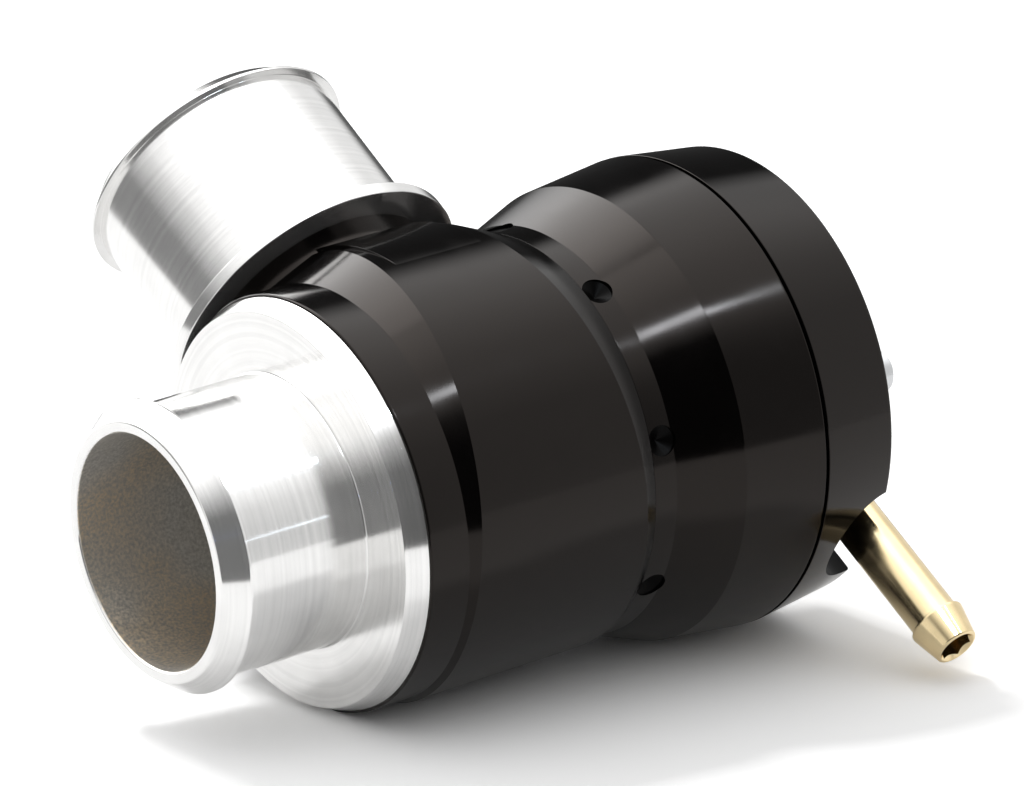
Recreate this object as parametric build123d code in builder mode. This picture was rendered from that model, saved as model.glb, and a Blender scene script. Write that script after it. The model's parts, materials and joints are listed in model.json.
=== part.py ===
"""Blow off valve: a sprung piston valve between two hose spigots, opened by manifold vacuum.

Millimetres. X is the valve axis and points from the inlet spigot to the cap. The origin is on that
axis, in the front face of the inlet flange. The outlet leaves at a right angle, towards +Y and up,
and the vacuum nipple leaves the other way, down towards -Y.
"""
import os
from math import cos, radians, sin, tan

from build123d import *

# Hose ends
HOSE_R = 17.5                 # hose seat of both spigots
BARB_R = 18.6                 # top of the barb that holds the hose
BARB_LAND = 0.4               # narrow flat on top of the barb
TIP_R = 16.5                  # outer edge of a spigot's end face
BORE_R = 15.0                 # air way through both spigots
INLET_REACH = 20.8            # inlet flange to inlet tip
OUTLET_REACH = 25.6           # outlet flange to outlet tip
INLET_LEAD = 3.3              # length of the inlet's tapered lead-in
OUTLET_LEAD = 2.5             # length of the outlet's tapered lead-in
ROOT_FILLET = 0.3
EDGE = 0.25                   # small broken edges

# Inlet flange and plug
FLANGE_T = 2.8
FLANGE_FRONT_R = 25.3
FLANGE_BACK_R = 26.45
PLUG_R = 22.0                 # screwed end of the inlet spigot
PLUG_LEN = 6.4
SEAT_R = 16.0                 # middle of the piston's seat lip
SEAT_W = 1.2
SEAT_H = 0.4

# Body
BODY_LEN = 34.6
NECK_R = 26.8
NECK_LEN = 5.7
NECK_CHAMFER = 0.35
NECK_SLOPE = 0.388            # rise of the cone behind the neck
WAIST_SLOPE = 0.41
BELLY_R = 28.5                # the off-centre barrel of the body
BELLY_OFFSET = 1.3            # its shift towards the outlet
LAND_R = 28.05                # the raised band round the outlet
LAND_OFFSET = 2.5
LAND_W = 13.2
CHAMBER_R = 20.4
SCREW_NECK_WALL = 3.0         # screwed neck round the guide sleeve
SCREW_NECK_LEN = 8.6

# Outlet
OUTLET_X = 23.1               # outlet axis along the valve axis
OUTLET_ANGLE = 34.0           # outlet axis above the horizontal
OUTLET_FACE = 28.2            # valve axis to the outlet's seat
BOSS_R = 16.6
OUTLET_FLANGE_R = 20.5
OUTLET_FLANGE_T = 1.8
OUTLET_PLUG_R = 12.5
OUTLET_PLUG_LEN = 5.6
PORT_R = 11.0
THROAT_LEN = 4.0              # taper from the outlet bore to the port
SHELL_GAP = 0.5               # boss lip to the upper shell under it

# Upper shell
SHELL_WAIST_LEN = 3.2
SHELL_WAIST_WALL = 2.6        # shell round the screwed neck
SHELL_WAIST_FLARE = 0.24      # rise of the shell's waist over the body's joint
SHELL_CONE_LEN = 8.6
SHELL_CONE_R = 29.95
SHELL_TOP_LEN = 11.9
SHELL_TOP_RISE = 1.35         # rise from the cone to the cap's seam
SEAM_CHAMFER = 0.2
SPANNER_HOLES = 8
SPANNER_R = 1.95
SPANNER_DEPTH = 1.6
SPANNER_FROM_JOINT = 1.7
SPANNER_POINT_ANGLE = 118.0

# Guide sleeve
SLEEVE_BORE_R = 19.0
SLEEVE_WALL = 2.0
SLEEVE_SHELF = 0.6            # joint plane to the shoulder that the sleeve stands on
SLEEVE_LEN = 20.0

# Piston
PISTON_GAP = 0.06             # piston to sleeve, on the radius
RING_GAP = 0.03               # wear ring and seal to sleeve, on the radius
PISTON_WALL = 2.5
PISTON_NOSE = 4.0
NOSE_SETBACK = 0.3            # seal face stands this far in front of the nose
NOSE_CHAMFER = 0.6
FACE_SEAL_R = 17.6
FACE_SEAL_T = 2.3
RETAINER_R = 14.2
RETAINER_LIP = 0.8
RETAINER_SPIGOT_R = 13.0
SCREW_R = 2.5                 # retainer screw
SCREW_HEAD_R = 4.2
SCREW_LEN = 7.0
SCREW_HEX = 3.0
SCREW_HEX_DEPTH = 1.8
PISTON_BOSS_R = 6.0
PISTON_BOSS_H = 3.4
WEAR_RING_T = 1.3
WEAR_RING_W = 3.0
WEAR_RING_FROM_TOP = 5.7
SEAL_RING_T = 1.9
SEAL_RING_W = 2.0
SEAL_RING_FROM_TOP = 2.2
STROKE = 9.0
STOP_GAP = 0.3                # piston to the cap's plug at full stroke

# Spring
WIRE_R = 1.1
SPRING_R = 12.6
SPRING_COILS = 8
WIRE_SIDES = 12
SPRING_SEAT_T = 0.8
SPRING_SEAT_BORE_R = 9.0
SPRING_SEAT_GAP = 0.2

# Cap
CAP_LEN = 11.9
CAP_FALL = 1.3                # fall from the seam to the cap's end face
CAP_FILLET = 0.5
CAP_PLUG_LEN = 3.1
CAP_PLUG_BORE_R = 17.2
CAP_CEILING = 2.3             # seam plane to the ceiling over the spring
HUB_R = 13.0
HUB_H = 7.0
HUB_CHAMFER = 0.8
PASSAGE_R = 1.6
NOTCH_R = 7.6                 # half-round notch for the vacuum hose

# Cap screws
CAP_SCREWS = 4
CAP_SCREW_CIRCLE_R = 25.0
CAP_SCREW_R = 1.5
CAP_SCREW_HEAD_R = 2.75
CAP_SCREW_HEAD_H = 3.0
CAP_SCREW_GRIP = 6.6          # length in the upper shell
CAP_SCREW_CLEAR = 0.2
CAP_SCREW_HEX = 2.5
CAP_SCREW_HEX_DEPTH = 1.5

# Vacuum nipple
NIPPLE_SEAT = 12.0            # valve axis to the flat that the nipple's washer lies on
NIPPLE_DROP = 0.4             # nipple axis below the cap's end face
NIPPLE_R = 3.3
NIPPLE_BARB_R = 3.8
NIPPLE_BARB_LAND = 0.3
NIPPLE_TIP_R = 2.9
NIPPLE_REACH = 49.5           # valve axis to the tip
NIPPLE_LEAD = 4.5
NIPPLE_COLLAR_R = 4.4
NIPPLE_COLLAR_T = 2.0
NIPPLE_ROOT_R = 3.0
NIPPLE_ROOT_LEN = 6.5
NIPPLE_BORE_R = 1.5
NIPPLE_HEX = 3.6
NIPPLE_HEX_DEPTH = 4.0
WASHER_T = 0.6

# Seal rings, each by its cord radius
INLET_CORD = 0.8
OUTLET_CORD = 0.5
SHELL_CORD = 0.65
SLEEVE_CORD = 0.5
CAP_CORD = 0.6
INLET_SEAL_FROM_FLANGE = 2.2
OUTLET_SEAL_WALL = 0.6        # plug hole to the ring's groove
SHELL_SEAL_FROM_TOP = 2.0
SLEEVE_SEAL_FROM_FOOT = 3.0
CAP_SEAL_FROM_END = 1.5
GROOVE_SIDE = 0.15            # room beside a ring in its groove

# Radii from the guide sleeve outwards, and of the upper shell and the cap
SLEEVE_R = SLEEVE_BORE_R + SLEEVE_WALL
SCREW_NECK_R = SLEEVE_R + SCREW_NECK_WALL
WAIST_R = SCREW_NECK_R + SHELL_WAIST_WALL
SHELL_WAIST_R = WAIST_R + SHELL_WAIST_FLARE
SEAM_R = SHELL_CONE_R + SHELL_TOP_RISE
CAP_END_R = SEAM_R - CAP_FALL

# Stations along the valve axis
JOINT_X = FLANGE_T + BODY_LEN
SEAM_X = JOINT_X + SHELL_WAIST_LEN + SHELL_CONE_LEN + SHELL_TOP_LEN
END_X = SEAM_X + CAP_LEN
PLUG_END_X = FLANGE_T + PLUG_LEN
SEAT_X = PLUG_END_X + SEAT_H
NECK_TOP_X = JOINT_X + SCREW_NECK_LEN
SLEEVE_X = JOINT_X + SLEEVE_SHELF
CAP_PLUG_X = SEAM_X - CAP_PLUG_LEN
CEILING_X = SEAM_X + CAP_CEILING
NIPPLE_X = END_X - NIPPLE_DROP

# Ridge in which the body's two cones would meet, outside the barrel that cuts them off
CONE_START_X = FLANGE_T + NECK_LEN
RIDGE_X = (CONE_START_X * NECK_SLOPE + JOINT_X * WAIST_SLOPE + WAIST_R - NECK_R) / (NECK_SLOPE + WAIST_SLOPE)
RIDGE_R = NECK_R + (RIDGE_X - CONE_START_X) * NECK_SLOPE

# Piston stations
PISTON_R = SLEEVE_BORE_R - PISTON_GAP
RING_R = SLEEVE_BORE_R - RING_GAP
NOSE_X = SEAT_X + NOSE_SETBACK
PISTON_TOP_X = CAP_PLUG_X - STOP_GAP - STROKE
FLOOR_X = NOSE_X + PISTON_NOSE
SPRING_TOP_X = CEILING_X - SPRING_SEAT_T

# Directions
OUTLET_DIR = Vector(0, cos(radians(OUTLET_ANGLE)), sin(radians(OUTLET_ANGLE)))
LENGTHWISE = Plane(origin=(0, 0, 0), x_dir=(1, 0, 0), z_dir=(0, -1, 0))
ACROSS = Plane(origin=(0, 0, 0), x_dir=OUTLET_DIR, z_dir=(1, 0, 0))
OUTLET_SECTION = Plane(origin=(OUTLET_X, 0, 0), x_dir=OUTLET_DIR, z_dir=OUTLET_DIR.cross(Vector(1, 0, 0)))
OUTLET_BASE = Plane(origin=(OUTLET_X, 0, 0), x_dir=(1, 0, 0), z_dir=OUTLET_DIR)
NIPPLE_DIR = OUTLET_DIR * -1
NIPPLE_SECTION = Plane(origin=(NIPPLE_X, 0, 0), x_dir=NIPPLE_DIR, z_dir=NIPPLE_DIR.cross(Vector(1, 0, 0)))
NIPPLE_BASE = Plane(origin=(NIPPLE_X, 0, 0), x_dir=(1, 0, 0), z_dir=NIPPLE_DIR)
NOTCH_BASE = Plane(origin=(END_X, 0, 0), x_dir=(1, 0, 0), z_dir=NIPPLE_DIR)
OUTLET_AXIS = Axis((OUTLET_X, 0, 0), OUTLET_DIR)
NIPPLE_AXIS = Axis((NIPPLE_X, 0, 0), NIPPLE_DIR)

os.makedirs("parts", exist_ok=True)


def groove_width(cord):
    """Width of the groove that holds a ring of this cord radius."""
    return 2 * (cord + GROOVE_SIDE)


# Inlet spigot
with BuildPart() as inlet_spigot:
    with BuildSketch(LENGTHWISE):
        with BuildLine():
            Polyline(
                (-INLET_REACH, BORE_R + EDGE),
                (-INLET_REACH, TIP_R),
                (-INLET_REACH + INLET_LEAD - BARB_LAND, BARB_R),
                (-INLET_REACH + INLET_LEAD, BARB_R),
                (-INLET_REACH + INLET_LEAD, HOSE_R),
                (-ROOT_FILLET, HOSE_R),
            )
            RadiusArc((-ROOT_FILLET, HOSE_R), (0, HOSE_R + ROOT_FILLET), ROOT_FILLET)
            Polyline(
                (0, HOSE_R + ROOT_FILLET),
                (0, FLANGE_FRONT_R),
                (FLANGE_T, FLANGE_BACK_R),
                (FLANGE_T, PLUG_R),
                (PLUG_END_X, PLUG_R),
                (PLUG_END_X, SEAT_R + SEAT_W / 2),
                (SEAT_X, SEAT_R + SEAT_W / 2),
                (SEAT_X, SEAT_R - SEAT_W / 2),
                (PLUG_END_X, BORE_R),
                (-INLET_REACH + EDGE, BORE_R),
                (-INLET_REACH, BORE_R + EDGE),
            )
        make_face()
    revolve(axis=Axis.X)
    with BuildSketch(LENGTHWISE):
        with Locations((FLANGE_T + INLET_SEAL_FROM_FLANGE, PLUG_R)):
            Rectangle(groove_width(INLET_CORD), 4 * INLET_CORD)
    revolve(axis=Axis.X, mode=Mode.SUBTRACT)
inlet_spigot.part.label = "inlet_spigot"

with BuildPart() as inlet_seal:
    with BuildSketch(LENGTHWISE):
        with Locations((FLANGE_T + INLET_SEAL_FROM_FLANGE, PLUG_R - INLET_CORD)):
            Circle(INLET_CORD)
    revolve(axis=Axis.X)
inlet_seal.part.label = "inlet_seal"

# Valve body
OVERSIZE_R = BELLY_R + BELLY_OFFSET + LAND_OFFSET
with BuildPart() as valve_body:
    with BuildSketch(LENGTHWISE):
        with BuildLine():
            Polyline(
                (FLANGE_T, 0),
                (FLANGE_T, NECK_R - NECK_CHAMFER),
                (FLANGE_T + NECK_CHAMFER, NECK_R),
                (CONE_START_X, NECK_R),
                (RIDGE_X, RIDGE_R),
                (JOINT_X, WAIST_R),
                (JOINT_X, 0),
                close=True,
            )
        make_face()
    revolve(axis=Axis.X)
    with BuildSketch(ACROSS):
        with Locations((BELLY_OFFSET, 0)):
            Circle(BELLY_R)
    extrude(amount=JOINT_X, mode=Mode.INTERSECT)
    with BuildSketch(ACROSS.offset(OUTLET_X - LAND_W / 2)):
        with Locations((LAND_OFFSET, 0)):
            Circle(LAND_R)
    extrude(amount=LAND_W)
    with BuildSketch(OUTLET_BASE):
        Circle(BOSS_R)
    extrude(amount=OUTLET_FACE)
    with BuildSketch(OUTLET_BASE.offset(OUTLET_FACE)):
        Rectangle(2 * JOINT_X, 2 * OVERSIZE_R)
    extrude(amount=OVERSIZE_R, mode=Mode.SUBTRACT)
    with BuildSketch(ACROSS.offset(JOINT_X)):
        Circle(SHELL_WAIST_R + SHELL_GAP)
    extrude(amount=BOSS_R, mode=Mode.SUBTRACT)
    with BuildSketch(ACROSS.offset(JOINT_X)):
        Circle(SCREW_NECK_R)
    extrude(amount=SCREW_NECK_LEN)
    with BuildSketch(ACROSS.offset(FLANGE_T)):
        Circle(PLUG_R)
    extrude(amount=PLUG_LEN, mode=Mode.SUBTRACT)
    with BuildSketch(ACROSS.offset(PLUG_END_X)):
        Circle(CHAMBER_R)
    extrude(amount=SLEEVE_X - PLUG_END_X, mode=Mode.SUBTRACT)
    with BuildSketch(ACROSS.offset(SLEEVE_X)):
        Circle(SLEEVE_R)
    extrude(amount=NECK_TOP_X - SLEEVE_X, mode=Mode.SUBTRACT)
    with BuildSketch(LENGTHWISE):
        with Locations((NECK_TOP_X - SHELL_SEAL_FROM_TOP, SCREW_NECK_R)):
            Rectangle(groove_width(SHELL_CORD), 4 * SHELL_CORD)
    revolve(axis=Axis.X, mode=Mode.SUBTRACT)
    with BuildSketch(OUTLET_BASE):
        Circle(PORT_R)
    extrude(amount=OUTLET_FACE, mode=Mode.SUBTRACT)
    with BuildSketch(OUTLET_BASE.offset(OUTLET_FACE - OUTLET_PLUG_LEN)):
        Circle(OUTLET_PLUG_R)
    extrude(amount=OUTLET_PLUG_LEN, mode=Mode.SUBTRACT)
    OUTLET_RING_R = OUTLET_PLUG_R + OUTLET_SEAL_WALL + groove_width(OUTLET_CORD) / 2
    with BuildSketch(OUTLET_SECTION):
        with Locations((OUTLET_FACE - OUTLET_CORD, OUTLET_RING_R)):
            Rectangle(2 * OUTLET_CORD, groove_width(OUTLET_CORD))
    revolve(axis=OUTLET_AXIS, mode=Mode.SUBTRACT)
valve_body.part.label = "valve_body"

# Outlet spigot
OUTLET_TOP = OUTLET_FACE + OUTLET_FLANGE_T
OUTLET_TIP = OUTLET_TOP + OUTLET_REACH
with BuildPart() as outlet_spigot:
    with BuildSketch(OUTLET_SECTION):
        with BuildLine():
            Polyline(
                (OUTLET_FACE - OUTLET_PLUG_LEN, PORT_R),
                (OUTLET_FACE - OUTLET_PLUG_LEN, OUTLET_PLUG_R),
                (OUTLET_FACE, OUTLET_PLUG_R),
                (OUTLET_FACE, OUTLET_FLANGE_R - EDGE),
                (OUTLET_FACE + EDGE, OUTLET_FLANGE_R),
                (OUTLET_TOP - EDGE, OUTLET_FLANGE_R),
                (OUTLET_TOP, OUTLET_FLANGE_R - EDGE),
                (OUTLET_TOP, HOSE_R + ROOT_FILLET),
            )
            RadiusArc((OUTLET_TOP, HOSE_R + ROOT_FILLET), (OUTLET_TOP + ROOT_FILLET, HOSE_R), ROOT_FILLET)
            Polyline(
                (OUTLET_TOP + ROOT_FILLET, HOSE_R),
                (OUTLET_TIP - OUTLET_LEAD, HOSE_R),
                (OUTLET_TIP - OUTLET_LEAD, BARB_R),
                (OUTLET_TIP - OUTLET_LEAD + BARB_LAND, BARB_R),
                (OUTLET_TIP, TIP_R),
                (OUTLET_TIP, BORE_R + EDGE),
                (OUTLET_TIP - EDGE, BORE_R),
                (OUTLET_FACE + THROAT_LEN, BORE_R),
                (OUTLET_FACE, PORT_R),
                (OUTLET_FACE - OUTLET_PLUG_LEN, PORT_R),
            )
        make_face()
    revolve(axis=OUTLET_AXIS)
outlet_spigot.part.label = "outlet_spigot"

with BuildPart() as outlet_seal:
    with BuildSketch(OUTLET_SECTION):
        with Locations((OUTLET_FACE - OUTLET_CORD, OUTLET_RING_R)):
            Circle(OUTLET_CORD)
    revolve(axis=OUTLET_AXIS)
outlet_seal.part.label = "outlet_seal"

# Upper shell
CONE_X = JOINT_X + SHELL_WAIST_LEN
SPANNER_X = JOINT_X + SPANNER_FROM_JOINT
SPANNER_FLOOR_R = SHELL_WAIST_R - SPANNER_DEPTH
with BuildPart() as upper_shell:
    with BuildSketch(LENGTHWISE):
        with BuildLine():
            Polyline(
                (JOINT_X, SCREW_NECK_R),
                (JOINT_X, WAIST_R - SEAM_CHAMFER),
                (JOINT_X + SEAM_CHAMFER, WAIST_R),
                (CONE_X, SHELL_WAIST_R),
                (CONE_X + SHELL_CONE_LEN, SHELL_CONE_R),
                (SEAM_X - SEAM_CHAMFER, SEAM_R),
                (SEAM_X, SEAM_R - SEAM_CHAMFER),
                (SEAM_X, SLEEVE_R),
                (NECK_TOP_X, SLEEVE_R),
                (NECK_TOP_X, SCREW_NECK_R),
                close=True,
            )
        make_face()
    revolve(axis=Axis.X)
    for spanner_turn in range(SPANNER_HOLES):
        outwards = OUTLET_DIR.rotate(Axis.X, 360 * spanner_turn / SPANNER_HOLES)
        section = Plane(origin=(SPANNER_X, 0, 0), x_dir=outwards, z_dir=outwards.cross(Vector(1, 0, 0)))
        with BuildSketch(section):
            with BuildLine():
                Polyline(
                    (SPANNER_FLOOR_R - SPANNER_R / tan(radians(SPANNER_POINT_ANGLE / 2)), 0),
                    (SPANNER_FLOOR_R, SPANNER_R),
                    (SHELL_CONE_R, SPANNER_R),
                    (SHELL_CONE_R, 0),
                    close=True,
                )
            make_face()
        revolve(axis=Axis((SPANNER_X, 0, 0), outwards), mode=Mode.SUBTRACT)
    with BuildSketch(ACROSS.offset(SEAM_X)):
        with PolarLocations(CAP_SCREW_CIRCLE_R, CAP_SCREWS, start_angle=180 / CAP_SCREWS):
            Circle(CAP_SCREW_R)
    extrude(amount=-CAP_SCREW_GRIP, mode=Mode.SUBTRACT)
upper_shell.part.label = "upper_shell"

with BuildPart() as shell_seal:
    with BuildSketch(LENGTHWISE):
        with Locations((NECK_TOP_X - SHELL_SEAL_FROM_TOP, SCREW_NECK_R - SHELL_CORD)):
            Circle(SHELL_CORD)
    revolve(axis=Axis.X)
shell_seal.part.label = "shell_seal"

# Guide sleeve
with BuildPart() as guide_sleeve:
    with BuildSketch(ACROSS.offset(SLEEVE_X)):
        Circle(SLEEVE_R)
        Circle(SLEEVE_BORE_R, mode=Mode.SUBTRACT)
    extrude(amount=CAP_PLUG_X - SLEEVE_X)
    chamfer(guide_sleeve.edges().filter_by(GeomType.CIRCLE).sort_by(SortBy.RADIUS)[:2], EDGE)
    with BuildSketch(LENGTHWISE):
        with Locations((SLEEVE_X + SLEEVE_SEAL_FROM_FOOT, SLEEVE_R)):
            Rectangle(groove_width(SLEEVE_CORD), 4 * SLEEVE_CORD)
    revolve(axis=Axis.X, mode=Mode.SUBTRACT)
guide_sleeve.part.label = "guide_sleeve"

with BuildPart() as sleeve_seal:
    with BuildSketch(LENGTHWISE):
        with Locations((SLEEVE_X + SLEEVE_SEAL_FROM_FOOT, SLEEVE_R - SLEEVE_CORD)):
            Circle(SLEEVE_CORD)
    revolve(axis=Axis.X)
sleeve_seal.part.label = "sleeve_seal"

# Piston
SEAL_BACK_X = SEAT_X + FACE_SEAL_T
with BuildPart() as piston:
    with BuildSketch(LENGTHWISE):
        with BuildLine():
            Polyline(
                (SEAL_BACK_X, 0),
                (SEAL_BACK_X, FACE_SEAL_R),
                (NOSE_X, FACE_SEAL_R),
                (NOSE_X, PISTON_R - NOSE_CHAMFER),
                (NOSE_X + NOSE_CHAMFER, PISTON_R),
                (PISTON_TOP_X, PISTON_R),
                (PISTON_TOP_X, PISTON_R - PISTON_WALL),
                (FLOOR_X, PISTON_R - PISTON_WALL),
                (FLOOR_X, PISTON_BOSS_R),
                (FLOOR_X + PISTON_BOSS_H, PISTON_BOSS_R),
                (FLOOR_X + PISTON_BOSS_H, 0),
                close=True,
            )
        make_face()
    revolve(axis=Axis.X)
    with BuildSketch(ACROSS.offset(SEAL_BACK_X)):
        Circle(SCREW_R)
    extrude(amount=FLOOR_X + PISTON_BOSS_H - SEAL_BACK_X, mode=Mode.SUBTRACT)
    with BuildSketch(ACROSS.offset(PISTON_TOP_X - WEAR_RING_FROM_TOP - WEAR_RING_W)):
        Circle(PISTON_R)
        Circle(RING_R - WEAR_RING_T, mode=Mode.SUBTRACT)
    extrude(amount=WEAR_RING_W, mode=Mode.SUBTRACT)
    with BuildSketch(ACROSS.offset(PISTON_TOP_X - SEAL_RING_FROM_TOP - SEAL_RING_W)):
        Circle(PISTON_R)
        Circle(RING_R - SEAL_RING_T, mode=Mode.SUBTRACT)
    extrude(amount=SEAL_RING_W, mode=Mode.SUBTRACT)
piston.part.label = "piston"

# Rings on the piston
with BuildPart() as piston_wear_ring:
    with BuildSketch(ACROSS.offset(PISTON_TOP_X - WEAR_RING_FROM_TOP - WEAR_RING_W)):
        Circle(RING_R)
        Circle(RING_R - WEAR_RING_T, mode=Mode.SUBTRACT)
    extrude(amount=WEAR_RING_W)
piston_wear_ring.part.label = "piston_wear_ring"

with BuildPart() as piston_seal:
    with BuildSketch(ACROSS.offset(PISTON_TOP_X - SEAL_RING_FROM_TOP - SEAL_RING_W)):
        Circle(RING_R)
        Circle(RING_R - SEAL_RING_T, mode=Mode.SUBTRACT)
    extrude(amount=SEAL_RING_W)
piston_seal.part.label = "piston_seal"

# Face seal and what holds it
with BuildPart() as piston_face_seal:
    with BuildSketch(LENGTHWISE):
        with BuildLine():
            Polyline(
                (SEAT_X, RETAINER_R),
                (SEAT_X, FACE_SEAL_R),
                (SEAL_BACK_X, FACE_SEAL_R),
                (SEAL_BACK_X, RETAINER_SPIGOT_R),
                (NOSE_X + RETAINER_LIP, RETAINER_SPIGOT_R),
                (NOSE_X + RETAINER_LIP, RETAINER_R),
                close=True,
            )
        make_face()
    revolve(axis=Axis.X)
piston_face_seal.part.label = "piston_face_seal"

SCREW_HEAD_H = SCREW_HEAD_R - SCREW_R
with BuildPart() as seal_retainer:
    with BuildSketch(LENGTHWISE):
        with BuildLine():
            Polyline(
                (NOSE_X, SCREW_HEAD_R),
                (NOSE_X, RETAINER_R),
                (NOSE_X + RETAINER_LIP, RETAINER_R),
                (NOSE_X + RETAINER_LIP, RETAINER_SPIGOT_R),
                (SEAL_BACK_X, RETAINER_SPIGOT_R),
                (SEAL_BACK_X, SCREW_R),
                (NOSE_X + SCREW_HEAD_H, SCREW_R),
                close=True,
            )
        make_face()
    revolve(axis=Axis.X)
seal_retainer.part.label = "seal_retainer"

with BuildPart() as retainer_screw:
    with BuildSketch(LENGTHWISE):
        with BuildLine():
            Polyline(
                (NOSE_X, 0),
                (NOSE_X, SCREW_HEAD_R),
                (NOSE_X + SCREW_HEAD_H, SCREW_R),
                (NOSE_X + SCREW_LEN, SCREW_R),
                (NOSE_X + SCREW_LEN, 0),
                close=True,
            )
        make_face()
    revolve(axis=Axis.X)
    with BuildSketch(ACROSS.offset(NOSE_X)):
        RegularPolygon(SCREW_HEX / 2, 6, major_radius=False)
    extrude(amount=SCREW_HEX_DEPTH, mode=Mode.SUBTRACT)
retainer_screw.part.label = "retainer_screw"

# Return spring, its ends ground flat; the wire is twelve-sided, which stands for round
SPRING_LEN = SPRING_TOP_X - FLOOR_X
with BuildPart() as return_spring:
    with BuildLine():
        wire = Helix(
            pitch=(SPRING_LEN + 2 * WIRE_R) / SPRING_COILS,
            height=SPRING_LEN + 2 * WIRE_R,
            radius=SPRING_R,
            center=(FLOOR_X - WIRE_R, 0, 0),
            direction=(1, 0, 0),
        )
    with BuildSketch(Plane(origin=wire @ 0, z_dir=wire % 0)):
        RegularPolygon(WIRE_R, WIRE_SIDES)
    sweep(path=wire, is_frenet=True)
    with BuildSketch(ACROSS.offset(FLOOR_X)):
        Circle(SPRING_R + 2 * WIRE_R)
    extrude(amount=SPRING_LEN, mode=Mode.INTERSECT)
return_spring.part.label = "return_spring"

with BuildPart() as spring_seat:
    with BuildSketch(ACROSS.offset(SPRING_TOP_X)):
        Circle(CAP_PLUG_BORE_R - SPRING_SEAT_GAP)
        Circle(SPRING_SEAT_BORE_R, mode=Mode.SUBTRACT)
    extrude(amount=SPRING_SEAT_T)
spring_seat.part.label = "spring_seat"

# Cap
with BuildPart() as cap:
    with BuildSketch(LENGTHWISE):
        with BuildLine():
            Polyline(
                (CAP_PLUG_X, CAP_PLUG_BORE_R),
                (CAP_PLUG_X, SLEEVE_R - EDGE),
                (CAP_PLUG_X + EDGE, SLEEVE_R),
                (SEAM_X, SLEEVE_R),
                (SEAM_X, SEAM_R - SEAM_CHAMFER),
                (SEAM_X + SEAM_CHAMFER, SEAM_R),
                (END_X, CAP_END_R),
                (END_X, HUB_R),
                (END_X + HUB_H - HUB_CHAMFER, HUB_R),
                (END_X + HUB_H, HUB_R - HUB_CHAMFER),
                (END_X + HUB_H, 0),
                (CEILING_X, 0),
                (CEILING_X, CAP_PLUG_BORE_R),
                close=True,
            )
        make_face()
    revolve(axis=Axis.X)
    fillet(cap.edges().filter_by(GeomType.CIRCLE).group_by(SortBy.RADIUS)[-2], CAP_FILLET)
    with BuildSketch(LENGTHWISE):
        with Locations((SEAM_X - CAP_SEAL_FROM_END, SLEEVE_R)):
            Rectangle(groove_width(CAP_CORD), 4 * CAP_CORD)
    revolve(axis=Axis.X, mode=Mode.SUBTRACT)
    with BuildSketch(NOTCH_BASE.offset(NIPPLE_SEAT)):
        Circle(NOTCH_R)
    extrude(amount=SEAM_R, mode=Mode.SUBTRACT)
    with BuildSketch(NIPPLE_BASE.offset(NIPPLE_SEAT - NIPPLE_ROOT_LEN)):
        Circle(NIPPLE_ROOT_R)
    extrude(amount=NIPPLE_ROOT_LEN, mode=Mode.SUBTRACT)
    with BuildSketch(NIPPLE_BASE):
        Circle(PASSAGE_R)
    extrude(amount=NIPPLE_SEAT, mode=Mode.SUBTRACT)
    with BuildSketch(ACROSS.offset(CEILING_X)):
        Circle(PASSAGE_R)
    extrude(amount=NIPPLE_X - CEILING_X, mode=Mode.SUBTRACT)
    with BuildSketch(ACROSS.offset(SEAM_X)):
        with PolarLocations(CAP_SCREW_CIRCLE_R, CAP_SCREWS, start_angle=180 / CAP_SCREWS):
            Circle(CAP_SCREW_R + CAP_SCREW_CLEAR)
    extrude(amount=CAP_LEN, mode=Mode.SUBTRACT)
cap.part.label = "cap"

with BuildPart() as cap_seal:
    with BuildSketch(LENGTHWISE):
        with Locations((SEAM_X - CAP_SEAL_FROM_END, SLEEVE_R - CAP_CORD)):
            Circle(CAP_CORD)
    revolve(axis=Axis.X)
cap_seal.part.label = "cap_seal"

# Cap screws
with BuildPart() as cap_screws:
    with BuildSketch(ACROSS.offset(END_X)):
        with PolarLocations(CAP_SCREW_CIRCLE_R, CAP_SCREWS, start_angle=180 / CAP_SCREWS):
            Circle(CAP_SCREW_HEAD_R)
    extrude(amount=CAP_SCREW_HEAD_H)
    chamfer(cap_screws.faces().sort_by(Axis.X)[-CAP_SCREWS:].edges(), EDGE)
    with BuildSketch(ACROSS.offset(END_X + CAP_SCREW_HEAD_H)):
        with PolarLocations(CAP_SCREW_CIRCLE_R, CAP_SCREWS, start_angle=180 / CAP_SCREWS):
            RegularPolygon(CAP_SCREW_HEX / 2, 6, major_radius=False)
    extrude(amount=-CAP_SCREW_HEX_DEPTH, mode=Mode.SUBTRACT)
    with BuildSketch(ACROSS.offset(END_X)):
        with PolarLocations(CAP_SCREW_CIRCLE_R, CAP_SCREWS, start_angle=180 / CAP_SCREWS):
            Circle(CAP_SCREW_R)
    extrude(amount=-(CAP_LEN + CAP_SCREW_GRIP))
cap_screws.part.label = "cap_screws"

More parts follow.
